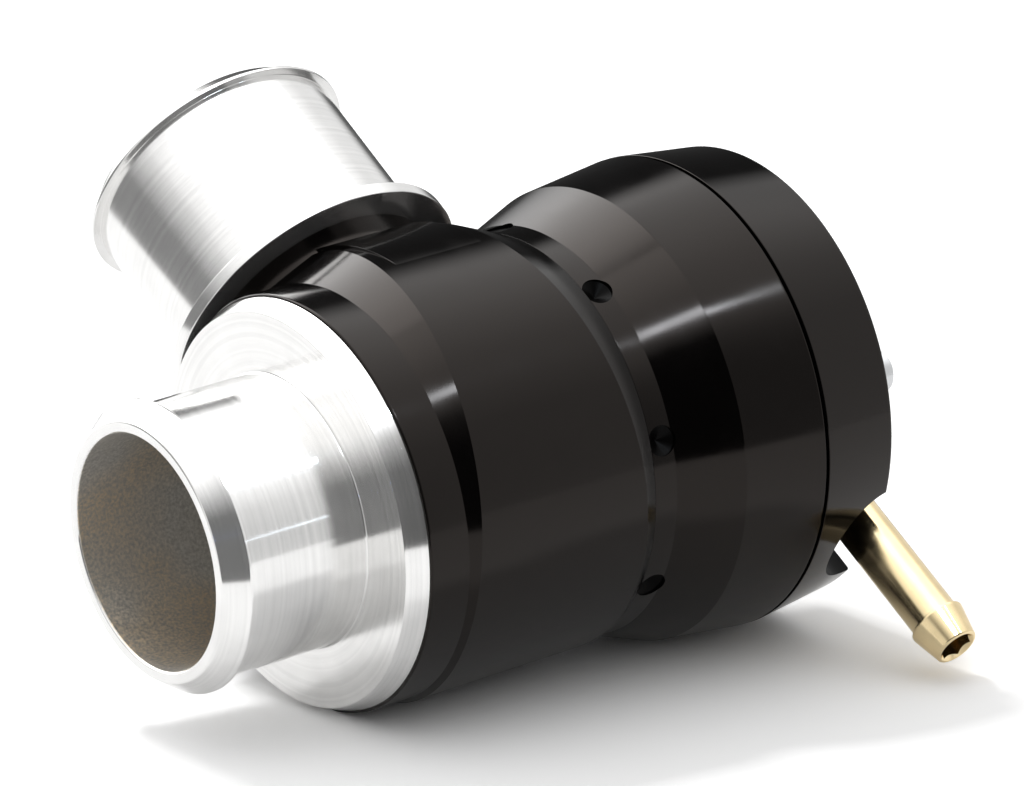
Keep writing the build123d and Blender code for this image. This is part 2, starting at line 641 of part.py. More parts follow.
# Vacuum nipple and its washer
COLLAR_FOOT = NIPPLE_SEAT + WASHER_T
with BuildPart() as vacuum_nipple:
    with BuildSketch(NIPPLE_SECTION):
        with BuildLine():
            Polyline(
                (NIPPLE_SEAT - NIPPLE_ROOT_LEN, NIPPLE_BORE_R),
                (NIPPLE_SEAT - NIPPLE_ROOT_LEN, NIPPLE_ROOT_R),
                (COLLAR_FOOT, NIPPLE_ROOT_R),
                (COLLAR_FOOT, NIPPLE_COLLAR_R),
                (COLLAR_FOOT + NIPPLE_COLLAR_T, NIPPLE_COLLAR_R),
                (COLLAR_FOOT + NIPPLE_COLLAR_T, NIPPLE_R),
                (NIPPLE_REACH - NIPPLE_LEAD, NIPPLE_R),
                (NIPPLE_REACH - NIPPLE_LEAD, NIPPLE_BARB_R),
                (NIPPLE_REACH - NIPPLE_LEAD + NIPPLE_BARB_LAND, NIPPLE_BARB_R),
                (NIPPLE_REACH, NIPPLE_TIP_R),
                (NIPPLE_REACH, NIPPLE_BORE_R),
                close=True,
            )
        make_face()
    revolve(axis=NIPPLE_AXIS)
    with BuildSketch(NIPPLE_BASE.offset(NIPPLE_REACH)):
        RegularPolygon(NIPPLE_HEX / 2, 6, major_radius=False)
    extrude(amount=-NIPPLE_HEX_DEPTH, mode=Mode.SUBTRACT)
vacuum_nipple.part.label = "vacuum_nipple"

with BuildPart() as nipple_washer:
    with BuildSketch(NIPPLE_BASE.offset(NIPPLE_SEAT)):
        Circle(NIPPLE_COLLAR_R)
        Circle(NIPPLE_ROOT_R, mode=Mode.SUBTRACT)
    extrude(amount=WASHER_T)
nipple_washer.part.label = "nipple_washer"

export_step(inlet_spigot.part, "parts/inlet_spigot.step")
export_step(inlet_seal.part, "parts/inlet_seal.step")
export_step(valve_body.part, "parts/valve_body.step")
export_step(outlet_spigot.part, "parts/outlet_spigot.step")
export_step(outlet_seal.part, "parts/outlet_seal.step")
export_step(upper_shell.part, "parts/upper_shell.step")
export_step(shell_seal.part, "parts/shell_seal.step")
export_step(guide_sleeve.part, "parts/guide_sleeve.step")
export_step(sleeve_seal.part, "parts/sleeve_seal.step")
export_step(piston.part, "parts/piston.step")
export_step(piston_wear_ring.part, "parts/piston_wear_ring.step")
export_step(piston_seal.part, "parts/piston_seal.step")
export_step(piston_face_seal.part, "parts/piston_face_seal.step")
export_step(seal_retainer.part, "parts/seal_retainer.step")
export_step(retainer_screw.part, "parts/retainer_screw.step")
export_step(return_spring.part, "parts/return_spring.step")
export_step(spring_seat.part, "parts/spring_seat.step")
export_step(cap.part, "parts/cap.step")
export_step(cap_seal.part, "parts/cap_seal.step")
export_step(cap_screws.part, "parts/cap_screws.step")
export_step(vacuum_nipple.part, "parts/vacuum_nipple.step")
export_step(nipple_washer.part, "parts/nipple_washer.step")
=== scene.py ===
"""Dresses the blow off valve: smooth turned meshes, finishes, studio and camera.

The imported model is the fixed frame. Sizes are in millimetres and a mesh is put in metres when it is made.
X is the valve axis. The outlet's and the nipple's directions come from the frame's own mounts.
"""
import json
import logging
import math
from dataclasses import dataclass
from enum import Enum, IntEnum

import bmesh
import bpy
import numpy as np
from mathutils import Matrix, Vector


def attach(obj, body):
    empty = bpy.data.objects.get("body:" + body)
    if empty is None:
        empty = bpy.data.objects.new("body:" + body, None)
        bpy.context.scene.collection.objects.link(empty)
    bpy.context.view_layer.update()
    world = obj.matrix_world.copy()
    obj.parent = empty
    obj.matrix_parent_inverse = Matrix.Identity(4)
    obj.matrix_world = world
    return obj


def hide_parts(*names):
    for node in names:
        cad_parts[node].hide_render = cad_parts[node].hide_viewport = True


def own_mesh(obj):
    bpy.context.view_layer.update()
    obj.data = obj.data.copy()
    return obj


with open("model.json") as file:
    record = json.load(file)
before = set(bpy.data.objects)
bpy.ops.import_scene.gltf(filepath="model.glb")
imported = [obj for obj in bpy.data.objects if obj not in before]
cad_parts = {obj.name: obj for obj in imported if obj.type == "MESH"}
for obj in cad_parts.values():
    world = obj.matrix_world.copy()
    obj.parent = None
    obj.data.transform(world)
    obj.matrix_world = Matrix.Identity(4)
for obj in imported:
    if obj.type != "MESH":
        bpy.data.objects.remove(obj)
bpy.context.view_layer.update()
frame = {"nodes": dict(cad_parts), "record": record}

MM = 0.001
LOG = logging.getLogger("valve")
SURFACE = "surface"
HOUSING = "housing"
SMOOTH_LIMIT = math.radians(28)
SCREW_SMOOTH_LIMIT = math.radians(30)
WELD = 0.002
# The turn, of a whole circle, that lays a metal's smear across the tool's grooves.
ACROSS_GROOVES = 0.25

# Steps round the axis.
BODY_STEPS = 384
SPIGOT_STEPS = 320
TOOL_STEPS = 192
NIPPLE_STEPS = 128
BLOCK_STEPS = 64
DRILL_STEPS = 48

# Stations and radii that more than one piece has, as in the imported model.
BORE_R = 15.0
FLANGE = 2.8
PLUG_R = 22.0
JOINT_X = 37.4
WAIST_R = 26.6
SCREW_NECK_R = 24.0
SCREW_NECK_END = 46.0
SLEEVE_R = 21.0
OUTLET_FACE = 28.2
OUTLET_PLUG_R = 12.5
OUTLET_PLUG = 5.6
PORT_R = 11.0
SEAM_X = 61.1
SEAM_R = 31.3
CAP_END = 73.0

# Names for types, and the tones of lamps.
Colour = tuple[float, float, float]
Solid = bpy.types.Object
Material = bpy.types.Material
Socket = bpy.types.NodeSocket
WHITE: Colour = (1.0, 1.0, 1.0)
COLD: Colour = (0.78, 0.89, 1.0)
BLUE: Colour = (0.3, 0.45, 1.0)
INLET_ONLY = ("inlet_spigot_skin",)


def mount(name: str) -> dict:
    """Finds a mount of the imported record.

    Args:
        name: the mount's name.

    Returns:
        The mount's row, with its place in metres and its axis.
    """
    return next(row for row in frame["record"]["mounts"] if row["name"] == name)


def unit(vector: tuple[float, float, float]) -> np.ndarray:
    """Returns the vector at length one."""
    array = np.array(vector, dtype=float)
    return array / np.linalg.norm(array)


@dataclass(frozen=True)
class Axle:
    """A turning axis: a point on it in millimetres, its direction and the side that angles start from."""

    origin: tuple[float, float, float]
    direction: tuple[float, float, float]
    side: tuple[float, float, float]

    def basis(self) -> tuple[np.ndarray, np.ndarray, np.ndarray]:
        """Returns the unit vectors along the axis, to its side and across both."""
        along = unit(self.direction)
        side = unit(self.side)
        return along, side, np.cross(along, side)

    def shifted(self, along: float = 0.0, sideways: float = 0.0) -> "Axle":
        """Moves the axle.

        Args:
            along: shift along its direction, in millimetres.
            sideways: shift towards its side, in millimetres.

        Returns:
            The moved axle.
        """
        direction, side, _ = self.basis()
        origin = np.array(self.origin) + direction * along + side * sideways
        return Axle(tuple(origin), self.direction, self.side)

    def twisted(self, degrees: float) -> "Axle":
        """Returns the axle with its side turned a little, so that two meshes' edges don't fall together."""
        _, side, across = self.basis()
        turn = math.radians(degrees)
        return Axle(self.origin, self.direction, tuple(side * math.cos(turn) + across * math.sin(turn)))

    def matrix(self) -> Matrix:
        """Returns the placing that takes local Z to the axis and local X to its side, in metres."""
        along, side, across = self.basis()
        columns = np.eye(4)
        columns[:3, 0] = side
        columns[:3, 1] = np.cross(along, side)
        columns[:3, 2] = along
        columns[:3, 3] = np.array(self.origin) * MM
        return Matrix(columns.tolist())


OUTLET_DIRECTION = tuple(mount("outlet_spigot")["axis"])
NIPPLE_DIRECTION = tuple(mount("vacuum_nipple")["axis"])
OUTLET_STATION = mount("outlet_spigot")["pos_m"][0] / MM
NIPPLE_STATION = mount("vacuum_nipple")["pos_m"][0] / MM
VALVE_AXLE = Axle((0, 0, 0), (1, 0, 0), OUTLET_DIRECTION)
OUTLET_AXLE = Axle((OUTLET_STATION, 0, 0), OUTLET_DIRECTION, (1, 0, 0))
NIPPLE_AXLE = Axle((NIPPLE_STATION, 0, 0), NIPPLE_DIRECTION, (1, 0, 0))


class Face(IntEnum):
    """Which surface of a piece a face belongs to."""

    COAXIAL = 1
    BELLY = 2
    LAND = 3
    BOSS = 4
    FLAT = 5
    DRILL = 6


@dataclass(frozen=True)
class Edge:
    """How a corner is broken: how far from the corner the break starts, in millimetres, and its steps."""

    soft: float
    steps: int = 2


# The usual edges, from sharp to round.
SHARP = Edge(0.0)
CRISP = Edge(0.05)
PLAIN = Edge(0.06)
FINE = Edge(0.08)
EASED = Edge(0.1)
STEP = Edge(0.12)
SOFT = Edge(0.15)
RIM = Edge(0.25, 4)
ROOT = Edge(0.3, 6)


@dataclass(frozen=True)
class Corner:
    """A corner of a turned outline: its station along the axis, its radius and how it is broken."""

    x: float
    r: float
    edge: Edge = PLAIN


def rod(start: float, end: float, radius: float, first: Edge = SHARP) -> list[Corner]:
    """Returns the outline of a solid rod, whose first end may have a broken edge."""
    return [Corner(start, 0), Corner(start, radius, first), Corner(end, radius, SHARP), Corner(end, 0)]


def soften(outline: list[Corner]) -> np.ndarray:
    """Breaks the corners of a closed outline.

    Args:
        outline: corners in order; a corner on the axis stays sharp.

    Returns:
        The points of the softened outline, one row of station and radius each.
    """
    corners = np.array([(corner.x, corner.r) for corner in outline])
    points = []
    for index, corner in enumerate(outline):
        here = corners[index]
        before = corners[index - 1]
        after = corners[(index + 1) % len(corners)]
        room = 0.45 * min(np.linalg.norm(here - before), np.linalg.norm(after - here))
        soft = min(corner.edge.soft, room)
        if corner.r == 0 or soft == 0:
            points.append(here)
            continue
        start = here + (before - here) / np.linalg.norm(before - here) * soft
        end = here + (after - here) / np.linalg.norm(after - here) * soft
        for step in range(corner.edge.steps + 1):
            t = step / corner.edge.steps
            points.append((1 - t) ** 2 * start + 2 * t * (1 - t) * here + t * t * end)
    return np.array(points)


def turned(
    name: str, axle: Axle, outline: list[Corner], segments: int, surface: Face = Face.COAXIAL
) -> Solid:
    """Turns a closed outline about an axle.

    Args:
        name: name of the new object.
        axle: the axis that the outline is turned about.
        outline: corners of the closed outline, either way round.
        segments: number of steps round the axis.
        surface: mark of the new faces, which names the axle that their shading follows.

    Returns:
        The new object, with its place in its mesh.
    """
    points = soften(outline)
    following = np.roll(points, -1, axis=0)
    area = np.sum(points[:, 0] * following[:, 1] - following[:, 0] * points[:, 1])
    if area > 0:
        points = points[::-1]
    along, side, across = axle.basis()
    angles = np.arange(segments) * 2 * math.pi / segments
    round_vectors = np.outer(np.cos(angles), side) + np.outer(np.sin(angles), across)
    vertices = []
    rings = []
    for station, radius in points:
        centre = np.array(axle.origin) + along * station
        rings.append((len(vertices), radius > 0))
        if radius > 0:
            vertices.extend(centre + radius * round_vectors)
        else:
            vertices.append(centre)
    faces = []
    for index, (first, wide) in enumerate(rings):
        second, second_wide = rings[(index + 1) % len(rings)]
        if not wide and not second_wide:
            continue
        for step in range(segments):
            after = (step + 1) % segments
            if wide and second_wide:
                faces.append((first + step, first + after, second + after, second + step))
            elif wide:
                faces.append((first + step, first + after, second))
            else:
                faces.append((first, second + after, second + step))
    mesh = bpy.data.meshes.new(name)
    mesh.from_pydata([tuple(vertex * MM) for vertex in vertices], [], faces)
    mark = mesh.attributes.new(SURFACE, "INT", "FACE")
    mark.data.foreach_set("value", [int(surface)] * len(mesh.polygons))
    return place(name, mesh)


def place(name: str, mesh: bpy.types.Mesh) -> Solid:
    """Puts a mesh in the scene as an object at the origin and returns it."""
    piece = bpy.data.objects.new(name, mesh)
    bpy.context.scene.collection.objects.link(piece)
    return piece


class Cut(Enum):
    """What a carving step does with its tool."""

    ADD = "UNION"
    REMOVE = "DIFFERENCE"
    KEEP = "INTERSECT"


def carve(piece: Solid, tool: Solid, cut: Cut) -> None:
    """Carves a piece with a tool, which is used up.

    Args:
        piece: the object that is changed.
        tool: the object that it is carved with.
        cut: whether the tool is added, removed or kept.
    """
    step = piece.modifiers.new("carve", "BOOLEAN")
    step.operation = cut.value
    step.solver = "EXACT"
    step.object = tool
    settle(piece)
    bpy.data.objects.remove(tool)


def settle(piece: Solid) -> None:
    """Turns a piece's modifiers into its plain mesh.

    Args:
        piece: the object whose modifiers are live.
    """
    graph = bpy.context.evaluated_depsgraph_get()
    mesh = bpy.data.meshes.new_from_object(piece.evaluated_get(graph))
    piece.modifiers.clear()
    piece.data = mesh


def weld(piece: Solid) -> None:
    """Joins the points that carving left a hair apart, so that the mesh is closed.

    Args:
        piece: the object that is changed.
    """
    mesh = bmesh.new()
    mesh.from_mesh(piece.data)
    bmesh.ops.remove_doubles(mesh, verts=mesh.verts, dist=WELD * MM)
    mesh.to_mesh(piece.data)
    mesh.free()


def read(rows: bpy.types.bpy_prop_collection, name: str, width: int = 1, kind: type = float) -> np.ndarray:
    """Reads one property of every row of a mesh's table.

    Args:
        rows: the table, such as the mesh's faces or its vertices.
        name: the property's name.
        width: how many numbers the property has.
        kind: type of the numbers.

    Returns:
        The numbers, a row for each row of the table where there are more than one.
    """
    values = np.zeros(len(rows) * width, dtype=kind)
    rows.foreach_get(name, values)
    return values.reshape(-1, width) if width > 1 else values


def shade_turned(piece: Solid, axles: dict[Face, Axle]) -> None:
    """Gives turned faces the normals of the round surface that they stand for.

    Args:
        piece: the object to shade.
        axles: the axle that each face mark is turned about; faces with no axle stay flat.
    """
    mesh = piece.data
    marks = read(mesh.attributes[SURFACE].data, "value", kind=int)
    normals = read(mesh.polygons, "normal", 3)
    centres = read(mesh.polygons, "center", 3)
    areas = read(mesh.polygons, "area")
    places = read(mesh.vertices, "co", 3)
    loop_vertex = read(mesh.loops, "vertex_index", kind=int)
    loop_face = np.repeat(np.arange(len(marks)), read(mesh.polygons, "loop_total", kind=int))
    profile = np.zeros((len(marks), 2))
    for mark, axle in axles.items():
        chosen = marks == mark
        along, radial = around(axle, centres[chosen])
        profile[chosen, 0] = normals[chosen] @ along
        profile[chosen, 1] = np.sum(normals[chosen] * radial, axis=1)
    blended = blend_profiles(profile, areas, marks, loop_face, loop_vertex)
    result = normals[loop_face].copy()
    for mark, axle in axles.items():
        chosen = marks[loop_face] == mark
        along, radial = around(axle, places[loop_vertex[chosen]])
        result[chosen] = np.outer(blended[chosen, 0], along) + blended[chosen, 1:2] * radial
    result /= np.maximum(np.linalg.norm(result, axis=1, keepdims=True), 1e-12)
    mesh.shade_smooth()
    mesh.normals_split_custom_set(result.tolist())


def around(axle: Axle, points: np.ndarray) -> tuple[np.ndarray, np.ndarray]:
    """Measures where points lie round an axle.

    Args:
        axle: the axis.
        points: the points, in metres.

    Returns:
        The axle's direction, and the unit vector from the axle to each point.
    """
    along, _, _ = axle.basis()
    away = points - np.array(axle.origin) * MM
    away = away - np.outer(away @ along, along)
    return along, away / np.maximum(np.linalg.norm(away, axis=1, keepdims=True), 1e-9)


def blend_profiles(
    profile: np.ndarray,
    areas: np.ndarray,
    marks: np.ndarray,
    loop_face: np.ndarray,
    loop_vertex: np.ndarray,
) -> np.ndarray:
    """Averages each face's slope with the like ones that meet it at a vertex, the larger faces counting more.

    Args:
        profile: slope of each face in its outline, as a unit pair.
        areas: area of each face.
        marks: mark of each face.
        loop_face: face of each corner.
        loop_vertex: vertex of each corner.

    Returns:
        The blended pair of each corner.
    """
    order = np.argsort(loop_vertex, kind="stable")
    starts = np.flatnonzero(np.r_[True, np.diff(loop_vertex[order]) != 0])
    ends = np.r_[starts[1:], len(order)]
    blended = profile[loop_face].copy()
    near = math.cos(SMOOTH_LIMIT)
    for start, end in zip(starts, ends):
        corners = order[start:end]
        faces = loop_face[corners]
        slopes = profile[faces]
        if np.ptp(slopes, axis=0).max() < 1e-6:
            continue
        alike = (slopes @ slopes.T > near) & (marks[faces][:, None] == marks[faces][None, :])
        blended[corners] = (alike * areas[faces]) @ slopes
    length = np.linalg.norm(blended, axis=1, keepdims=True)
    return blended / np.maximum(length, 1e-12)


class NodeTree:
    """A node tree that nodes are added to."""

    def __init__(self, tree: bpy.types.NodeTree) -> None:
        """Starts on an existing tree."""
        self.tree = tree

    def add(self, kind: str, inputs: dict | None = None, **settings: object) -> bpy.types.Node:
        """Adds a node.

        Args:
            kind: the node's type.
            inputs: what fills its sockets, by name or number.
            settings: the node's own properties.

        Returns:
            The new node.
        """
        node = self.tree.nodes.new(kind)
        for key, value in settings.items():
            setattr(node, key, value)
        for key, value in (inputs or {}).items():
            self.fill(node.inputs[key], value)
        return node

    def fill(self, socket: Socket, value: object) -> None:
        """Fills a socket.

        Args:
            socket: the socket to fill.
            value: a plain value, a socket to link from, or a list of such sockets.
        """
        if isinstance(value, Socket):
            value = [value]
        if isinstance(value, list):
            for source in value:
                self.tree.links.new(source, socket)
        elif socket.type == "RGBA":
            socket.default_value = (*value, 1.0)
        else:
            socket.default_value = value


class GeometryTree(NodeTree):
    """Builds one Geometry Nodes tree and runs it on an object."""

    def __init__(self, name: str) -> None:
        """Starts an empty tree with one geometry output."""
        super().__init__(bpy.data.node_groups.new(name, "GeometryNodeTree"))
        self.tree.interface.new_socket("Geometry", in_out="OUTPUT", socket_type="NodeSocketGeometry")
        self.values: dict[str, object] = {}
        self.source = self.add("NodeGroupInput")
        self.end = self.add("NodeGroupOutput")

    def size(self, name: str, kind: str, value: object) -> Socket:
        """Adds a named input.

        Args:
            name: plain name of the input.
            kind: socket type, such as Float or Int.
            value: what the modifier sets it to.

        Returns:
            The socket to link from.
        """
        item = self.tree.interface.new_socket(name, in_out="INPUT", socket_type=f"NodeSocket{kind}")
        self.values[item.identifier] = value
        return self.source.outputs[name]

    def length(self, name: str, millimetres: float) -> Socket:
        """Adds a named length and returns the socket to link from."""
        return self.size(name, "Float", millimetres * MM)

    def cone(self, steps: int, bottom: object, top: object, depth: object) -> Socket:
        """Returns a cone that stands on the ground, or a rod where its two radii are the same."""
        sizes = {"Vertices": steps, "Radius Top": top, "Radius Bottom": bottom, "Depth": depth}
        return self.add("GeometryNodeMeshCone", sizes).outputs["Mesh"]

    def raised(self, mesh: Socket, height: object) -> Socket:
        """Returns a mesh moved up by a height."""
        offset = self.add("ShaderNodeCombineXYZ", {"Z": height}).outputs[0]
        return self.add("GeometryNodeTransform", {"Geometry": mesh, "Translation": offset}).outputs[0]

    def carved(self, cut: Cut, meshes: dict[str, object]) -> Socket:
        """Returns what an exact boolean makes of the meshes in its sockets."""
        step = self.add("GeometryNodeMeshBoolean", meshes, operation=cut.value, solver="EXACT")
        return step.outputs["Mesh"]

    def ring(self, count: object, radius: object, piece: Socket, outwards: bool) -> Socket:
        """Repeats a piece round a circle.

        Args:
            count: how many of them.
            radius: the circle's radius.
            piece: the piece.
            outwards: whether it points away from the middle, and not up.

        Returns:
            The ring of instances.
        """
        circle = self.add("GeometryNodeMeshCircle", {"Vertices": count, "Radius": radius})
        inputs = {"Points": circle.outputs[0], "Instance": piece}
        if outwards:
            ray = self.add("GeometryNodeInputPosition").outputs[0]
            turn = self.add("FunctionNodeAlignRotationToVector", {"Vector": ray}, axis="Z")
            inputs["Rotation"] = turn.outputs[0]
        return self.add("GeometryNodeInstanceOnPoints", inputs).outputs[0]

    def finish(self, name: str, geometry: Socket, material: Material) -> Solid:
        """Ends the tree, runs it and returns the result as an object with a plain mesh.

        Args:
            name: name of the new object.
            geometry: the socket that holds what the tree made.
            material: finish of the result.

        Returns:
            The new object.
        """
        real = self.add("GeometryNodeRealizeInstances", {"Geometry": geometry})
        dressed = self.add("GeometryNodeSetMaterial", {"Geometry": real.outputs[0], "Material": material})
        self.tree.links.new(dressed.outputs[0], self.end.inputs[0])
        piece = place(name, bpy.data.meshes.new(name))
        step = piece.modifiers.new("nodes", "NODES")
        step.node_group = self.tree
        for identifier, value in self.values.items():
            step[identifier] = value
        settle(piece)
        return piece


class ShaderNodes(NodeTree):
    """Adds the usual nodes to the shader tree of a material or of the world."""

    def math(self, operation: str, first: object, second: object = 0.0, third: object = 0.0) -> Socket:
        """Returns the result of one Math node."""
        node = self.add("ShaderNodeMath", {0: first, 1: second, 2: third}, operation=operation)
        return node.outputs[0]

    def vector(
        self, operation: str, first: object, second: object = (0, 0, 0), output: str = "Vector"
    ) -> Socket:
        """Returns the result of one Vector Math node, from its output of that name."""
        node = self.add("ShaderNodeVectorMath", {0: first, 1: second}, operation=operation)
        return node.outputs[output]

    def spread(
        self, value: object, low: float, high: float, from_low: float = 0.0, from_high: float = 1.0
    ) -> Socket:
        """Maps a value from one range to another, held at its ends."""
        values = {0: value, 1: from_low, 2: from_high, 3: low, 4: high}
        return self.add("ShaderNodeMapRange", values).outputs[0]

    def ramp(self, value: object, low: float, high: float) -> Socket:
        """Returns 0 up to the low value, 1 from the high one on, and a straight rise between them."""
        return self.spread(value, 0.0, 1.0, low, high)

    def blend(self, share: object, first: object, second: object) -> Socket:
        """Returns the first value where the share is 0 and the second where it is 1."""
        return self.math("MULTIPLY_ADD", share, self.math("SUBTRACT", second, first), first)

    def mix(self, share: object, first: object, second: object) -> Socket:
        """Returns the first colour where the share is 0 and the second where it is 1."""
        values = {"Factor": share, "A": first, "B": second}
        return self.add("ShaderNodeMix", values, data_type="RGBA").outputs["Result"]


class Shader(ShaderNodes):
    """Builds one procedural material."""

    def __init__(self, name: str) -> None:
        """Starts a material with a Principled surface."""
        self.material = bpy.data.materials.new(name)
        self.material.use_nodes = True
        super().__init__(self.material.node_tree)
        self.surface = self.tree.nodes["Principled BSDF"]

    def position(self) -> Socket:
        """Returns the place on the piece in its own frame, in metres."""
        return self.add("ShaderNodeTexCoord").outputs["Object"]

    def noise(self, scale: float, detail: float = 2.0, roughness: float = 0.5) -> Socket:
        """Returns noise between 0 and 1 over the place on the piece."""
        values = {"Vector": self.position(), "Scale": scale, "Detail": detail, "Roughness": roughness}
        return self.add("ShaderNodeTexNoise", values).outputs["Fac"]

    def lines(self, station: object, scale: float, detail: float, roughness: float = 0.5) -> Socket:
        """Returns noise between 0 and 1 along the outline only, as a tool leaves it."""
        values = {"W": station, "Scale": scale, "Detail": detail, "Roughness": roughness}
        return self.add("ShaderNodeTexNoise", values, noise_dimensions="1D").outputs["Fac"]

    def bump(self, height: object, depth: float, strength: object, **more: object) -> Socket:
        """Returns the normal of a relief whose depth is in millimetres."""
        values = {"Height": height, "Distance": depth * MM, "Strength": strength, **more}
        return self.add("ShaderNodeBump", values).outputs["Normal"]

    def set(self, **values: object) -> None:
        """Fills the surface's sockets; an underscore in a name stands for a space."""
        for key, value in values.items():
            self.fill(self.surface.inputs[key.replace("_", " ")], value)

    def turning(self, axle: Axle) -> tuple[Socket, Socket, Socket]:
        """Measures a turned surface.

        Args:
            axle: the axis that it was turned about.

        Returns:
            The direction of the tool's grooves, the station along the outline and the radius, each as a
            socket.
        """
        along, _, _ = axle.basis()
        away = self.vector("SUBTRACT", self.position(), tuple(np.array(axle.origin) * MM))
        groove = self.vector("CROSS_PRODUCT", tuple(along), away)
        height = self.vector("DOT_PRODUCT", away, tuple(along), "Value")
        radius = self.vector("LENGTH", groove, output="Value")
        return groove, self.math("ADD", height, radius), radius

    def smear(self, amount: object, groove: Socket) -> None:
        """Draws the highlights out across the tool's grooves."""
        self.set(Anisotropic=amount, Anisotropic_Rotation=ACROSS_GROOVES, Tangent=groove)

    def grooves(self, station: object, pitch: float, depth: float, strength: float) -> Socket:
        """Makes fine tool grooves.

        Args:
            station: station along the outline, in metres.
            pitch: usual distance between grooves, in millimetres.
            depth: depth of the grooves, in millimetres.
            strength: how much they bend the light, from 0 to 1.

        Returns:
            The normal.
        """
        return self.bump(self.lines(station, 1 / (pitch * MM), 3.0, 0.6), depth, strength)


def dim(colour: Colour, share: float) -> Colour:
    """Returns a colour at a share of its brightness."""
    return tuple(share * channel for channel in colour)


@dataclass(frozen=True)
class TurnedAluminium:
    """Bare aluminium with the fine grooves of the lathe, and a bore that is duller and grainy, with warm
    brown patches that are a painted reflection.
    """

    name: str
    axle: Axle
    bore_r: float
    colour: Colour = (0.90, 0.895, 0.885)
    dimmed: float = 0.87
    sheen: float = 0.88
    roughness: float = 0.14
    smear: float = 0.75
    cloud_scale: float = 160.0
    band_scale: float = 1500.0
    groove_pitch: float = 0.12
    groove_depth: float = 0.0035
    groove_strength: float = 0.35
    bore_margin: float = 0.08
    bore_colour: Colour = (0.72, 0.71, 0.68)
    bore_dimmed: float = 0.68
    # Warm brown of the bore's patches: a painted reflection.
    bore_painted_reflection: Colour = (0.80, 0.67, 0.50)
    bore_sheen: float = 0.74
    bore_roughness: float = 0.42
    bore_smear: float = 0.2
    reflection_patch_scale: float = 55.0
    speck_scale: float = 2600.0
    grain: float = 0.4
    grain_depth: float = 0.05

    def build(self) -> Material:
        """Builds the finish and returns its material."""
        shader = Shader(self.name)
        groove, station, radius = shader.turning(self.axle)
        bore = shader.math("LESS_THAN", radius, (self.bore_r + self.bore_margin) * MM)
        cloud = shader.noise(self.cloud_scale, 4.0)
        band = shader.lines(station, self.band_scale, 3.0)
        mixed = shader.math("MULTIPLY_ADD", band, 0.5, shader.math("MULTIPLY", cloud, 0.5))
        speck = shader.noise(self.speck_scale, 3.0, 0.65)
        # Patches of warm brown in the bore, where a reflection is painted; the grain below mixes into them.
        reflection_share = shader.ramp(shader.noise(self.reflection_patch_scale), 0.42, 0.6)
        tone = shader.mix(shader.ramp(mixed, 0.35, 0.65), dim(self.colour, self.dimmed), self.colour)
        reflected_tone = shader.mix(reflection_share, self.bore_colour, self.bore_painted_reflection)
        grain_and_reflection = shader.mix(shader.ramp(speck, 0.35, 0.65), dim(self.bore_colour, self.bore_dimmed), reflected_tone)
        bright = shader.spread(mixed, 0.92 * self.roughness, 1.08 * self.roughness, 0.3, 0.7)
        rough = shader.spread(speck, 0.8 * self.bore_roughness, 1.25 * self.bore_roughness, 0.3, 0.7)
        lines = shader.grooves(station, self.groove_pitch, self.groove_depth, self.groove_strength)
        pitted = shader.math("MULTIPLY", bore, self.grain)
        shader.smear(shader.blend(bore, self.smear, self.bore_smear), groove)
        shader.set(
            Base_Color=shader.mix(bore, tone, grain_and_reflection),
            Metallic=shader.blend(bore, self.sheen, self.bore_sheen),
            Roughness=shader.blend(bore, bright, rough),
            Normal=shader.bump(speck, self.grain_depth, pitted, Normal=lines),
        )
        return shader.material


@dataclass(frozen=True)
class BlackAnodised:
    """Black anodised aluminium, turned fine and half glossy."""

    name: str
    axle: Axle
    colour: Colour = (0.0014, 0.0012, 0.0012)
    tint: Colour = (1.0, 0.88, 0.81)
    index: float = 1.34
    roughness: float = 0.13
    smear: float = 0.3
    spark: float = 0.6
    spark_depth: float = 0.003
    grain_scale: float = 5200.0
    line_scale: float = 7000.0
    cloud_scale: float = 220.0

    def build(self) -> Material:
        """Builds the finish and returns its material."""
        shader = Shader(self.name)
        groove, station, _ = shader.turning(self.axle)
        grain = shader.math("MULTIPLY", shader.noise(self.grain_scale, 2.0, 0.7), 0.6)
        lines = shader.math("MULTIPLY", shader.lines(station, self.line_scale, 2.0), 0.5)
        cloud = shader.noise(self.cloud_scale, 3.0)
        shader.smear(self.smear, groove)
        shader.set(
            Base_Color=self.colour,
            Metallic=0.0,
            IOR=self.index,
            Specular_Tint=self.tint,
            Roughness=shader.spread(cloud, 0.85 * self.roughness, 1.15 * self.roughness, 0.35, 0.65),
            Normal=shader.bump(shader.math("ADD", grain, lines), self.spark_depth, self.spark),
        )
        return shader.material


@dataclass(frozen=True)
class BrightMetal:
    """A turned metal, such as brass, steel or bronze."""

    name: str
    axle: Axle
    colour: Colour
    roughness: float
    smear: float = 0.5
    dimmed: float = 0.88
    cloud_scale: float = 420.0
    groove_pitch: float = 0.1
    groove_depth: float = 0.002
    groove_strength: float = 0.3

    def build(self) -> Material:
        """Builds the finish and returns its material."""
        shader = Shader(self.name)
        groove, station, _ = shader.turning(self.axle)
        cloud = shader.noise(self.cloud_scale, 3.0)
        shader.smear(self.smear, groove)
        shader.set(
            Base_Color=shader.mix(shader.ramp(cloud, 0.3, 0.7), dim(self.colour, self.dimmed), self.colour),
            Metallic=1.0,
            Roughness=shader.spread(cloud, 0.8 * self.roughness, 1.2 * self.roughness, 0.3, 0.7),
            Normal=shader.grooves(station, self.groove_pitch, self.groove_depth, self.groove_strength),
        )
        return shader.material


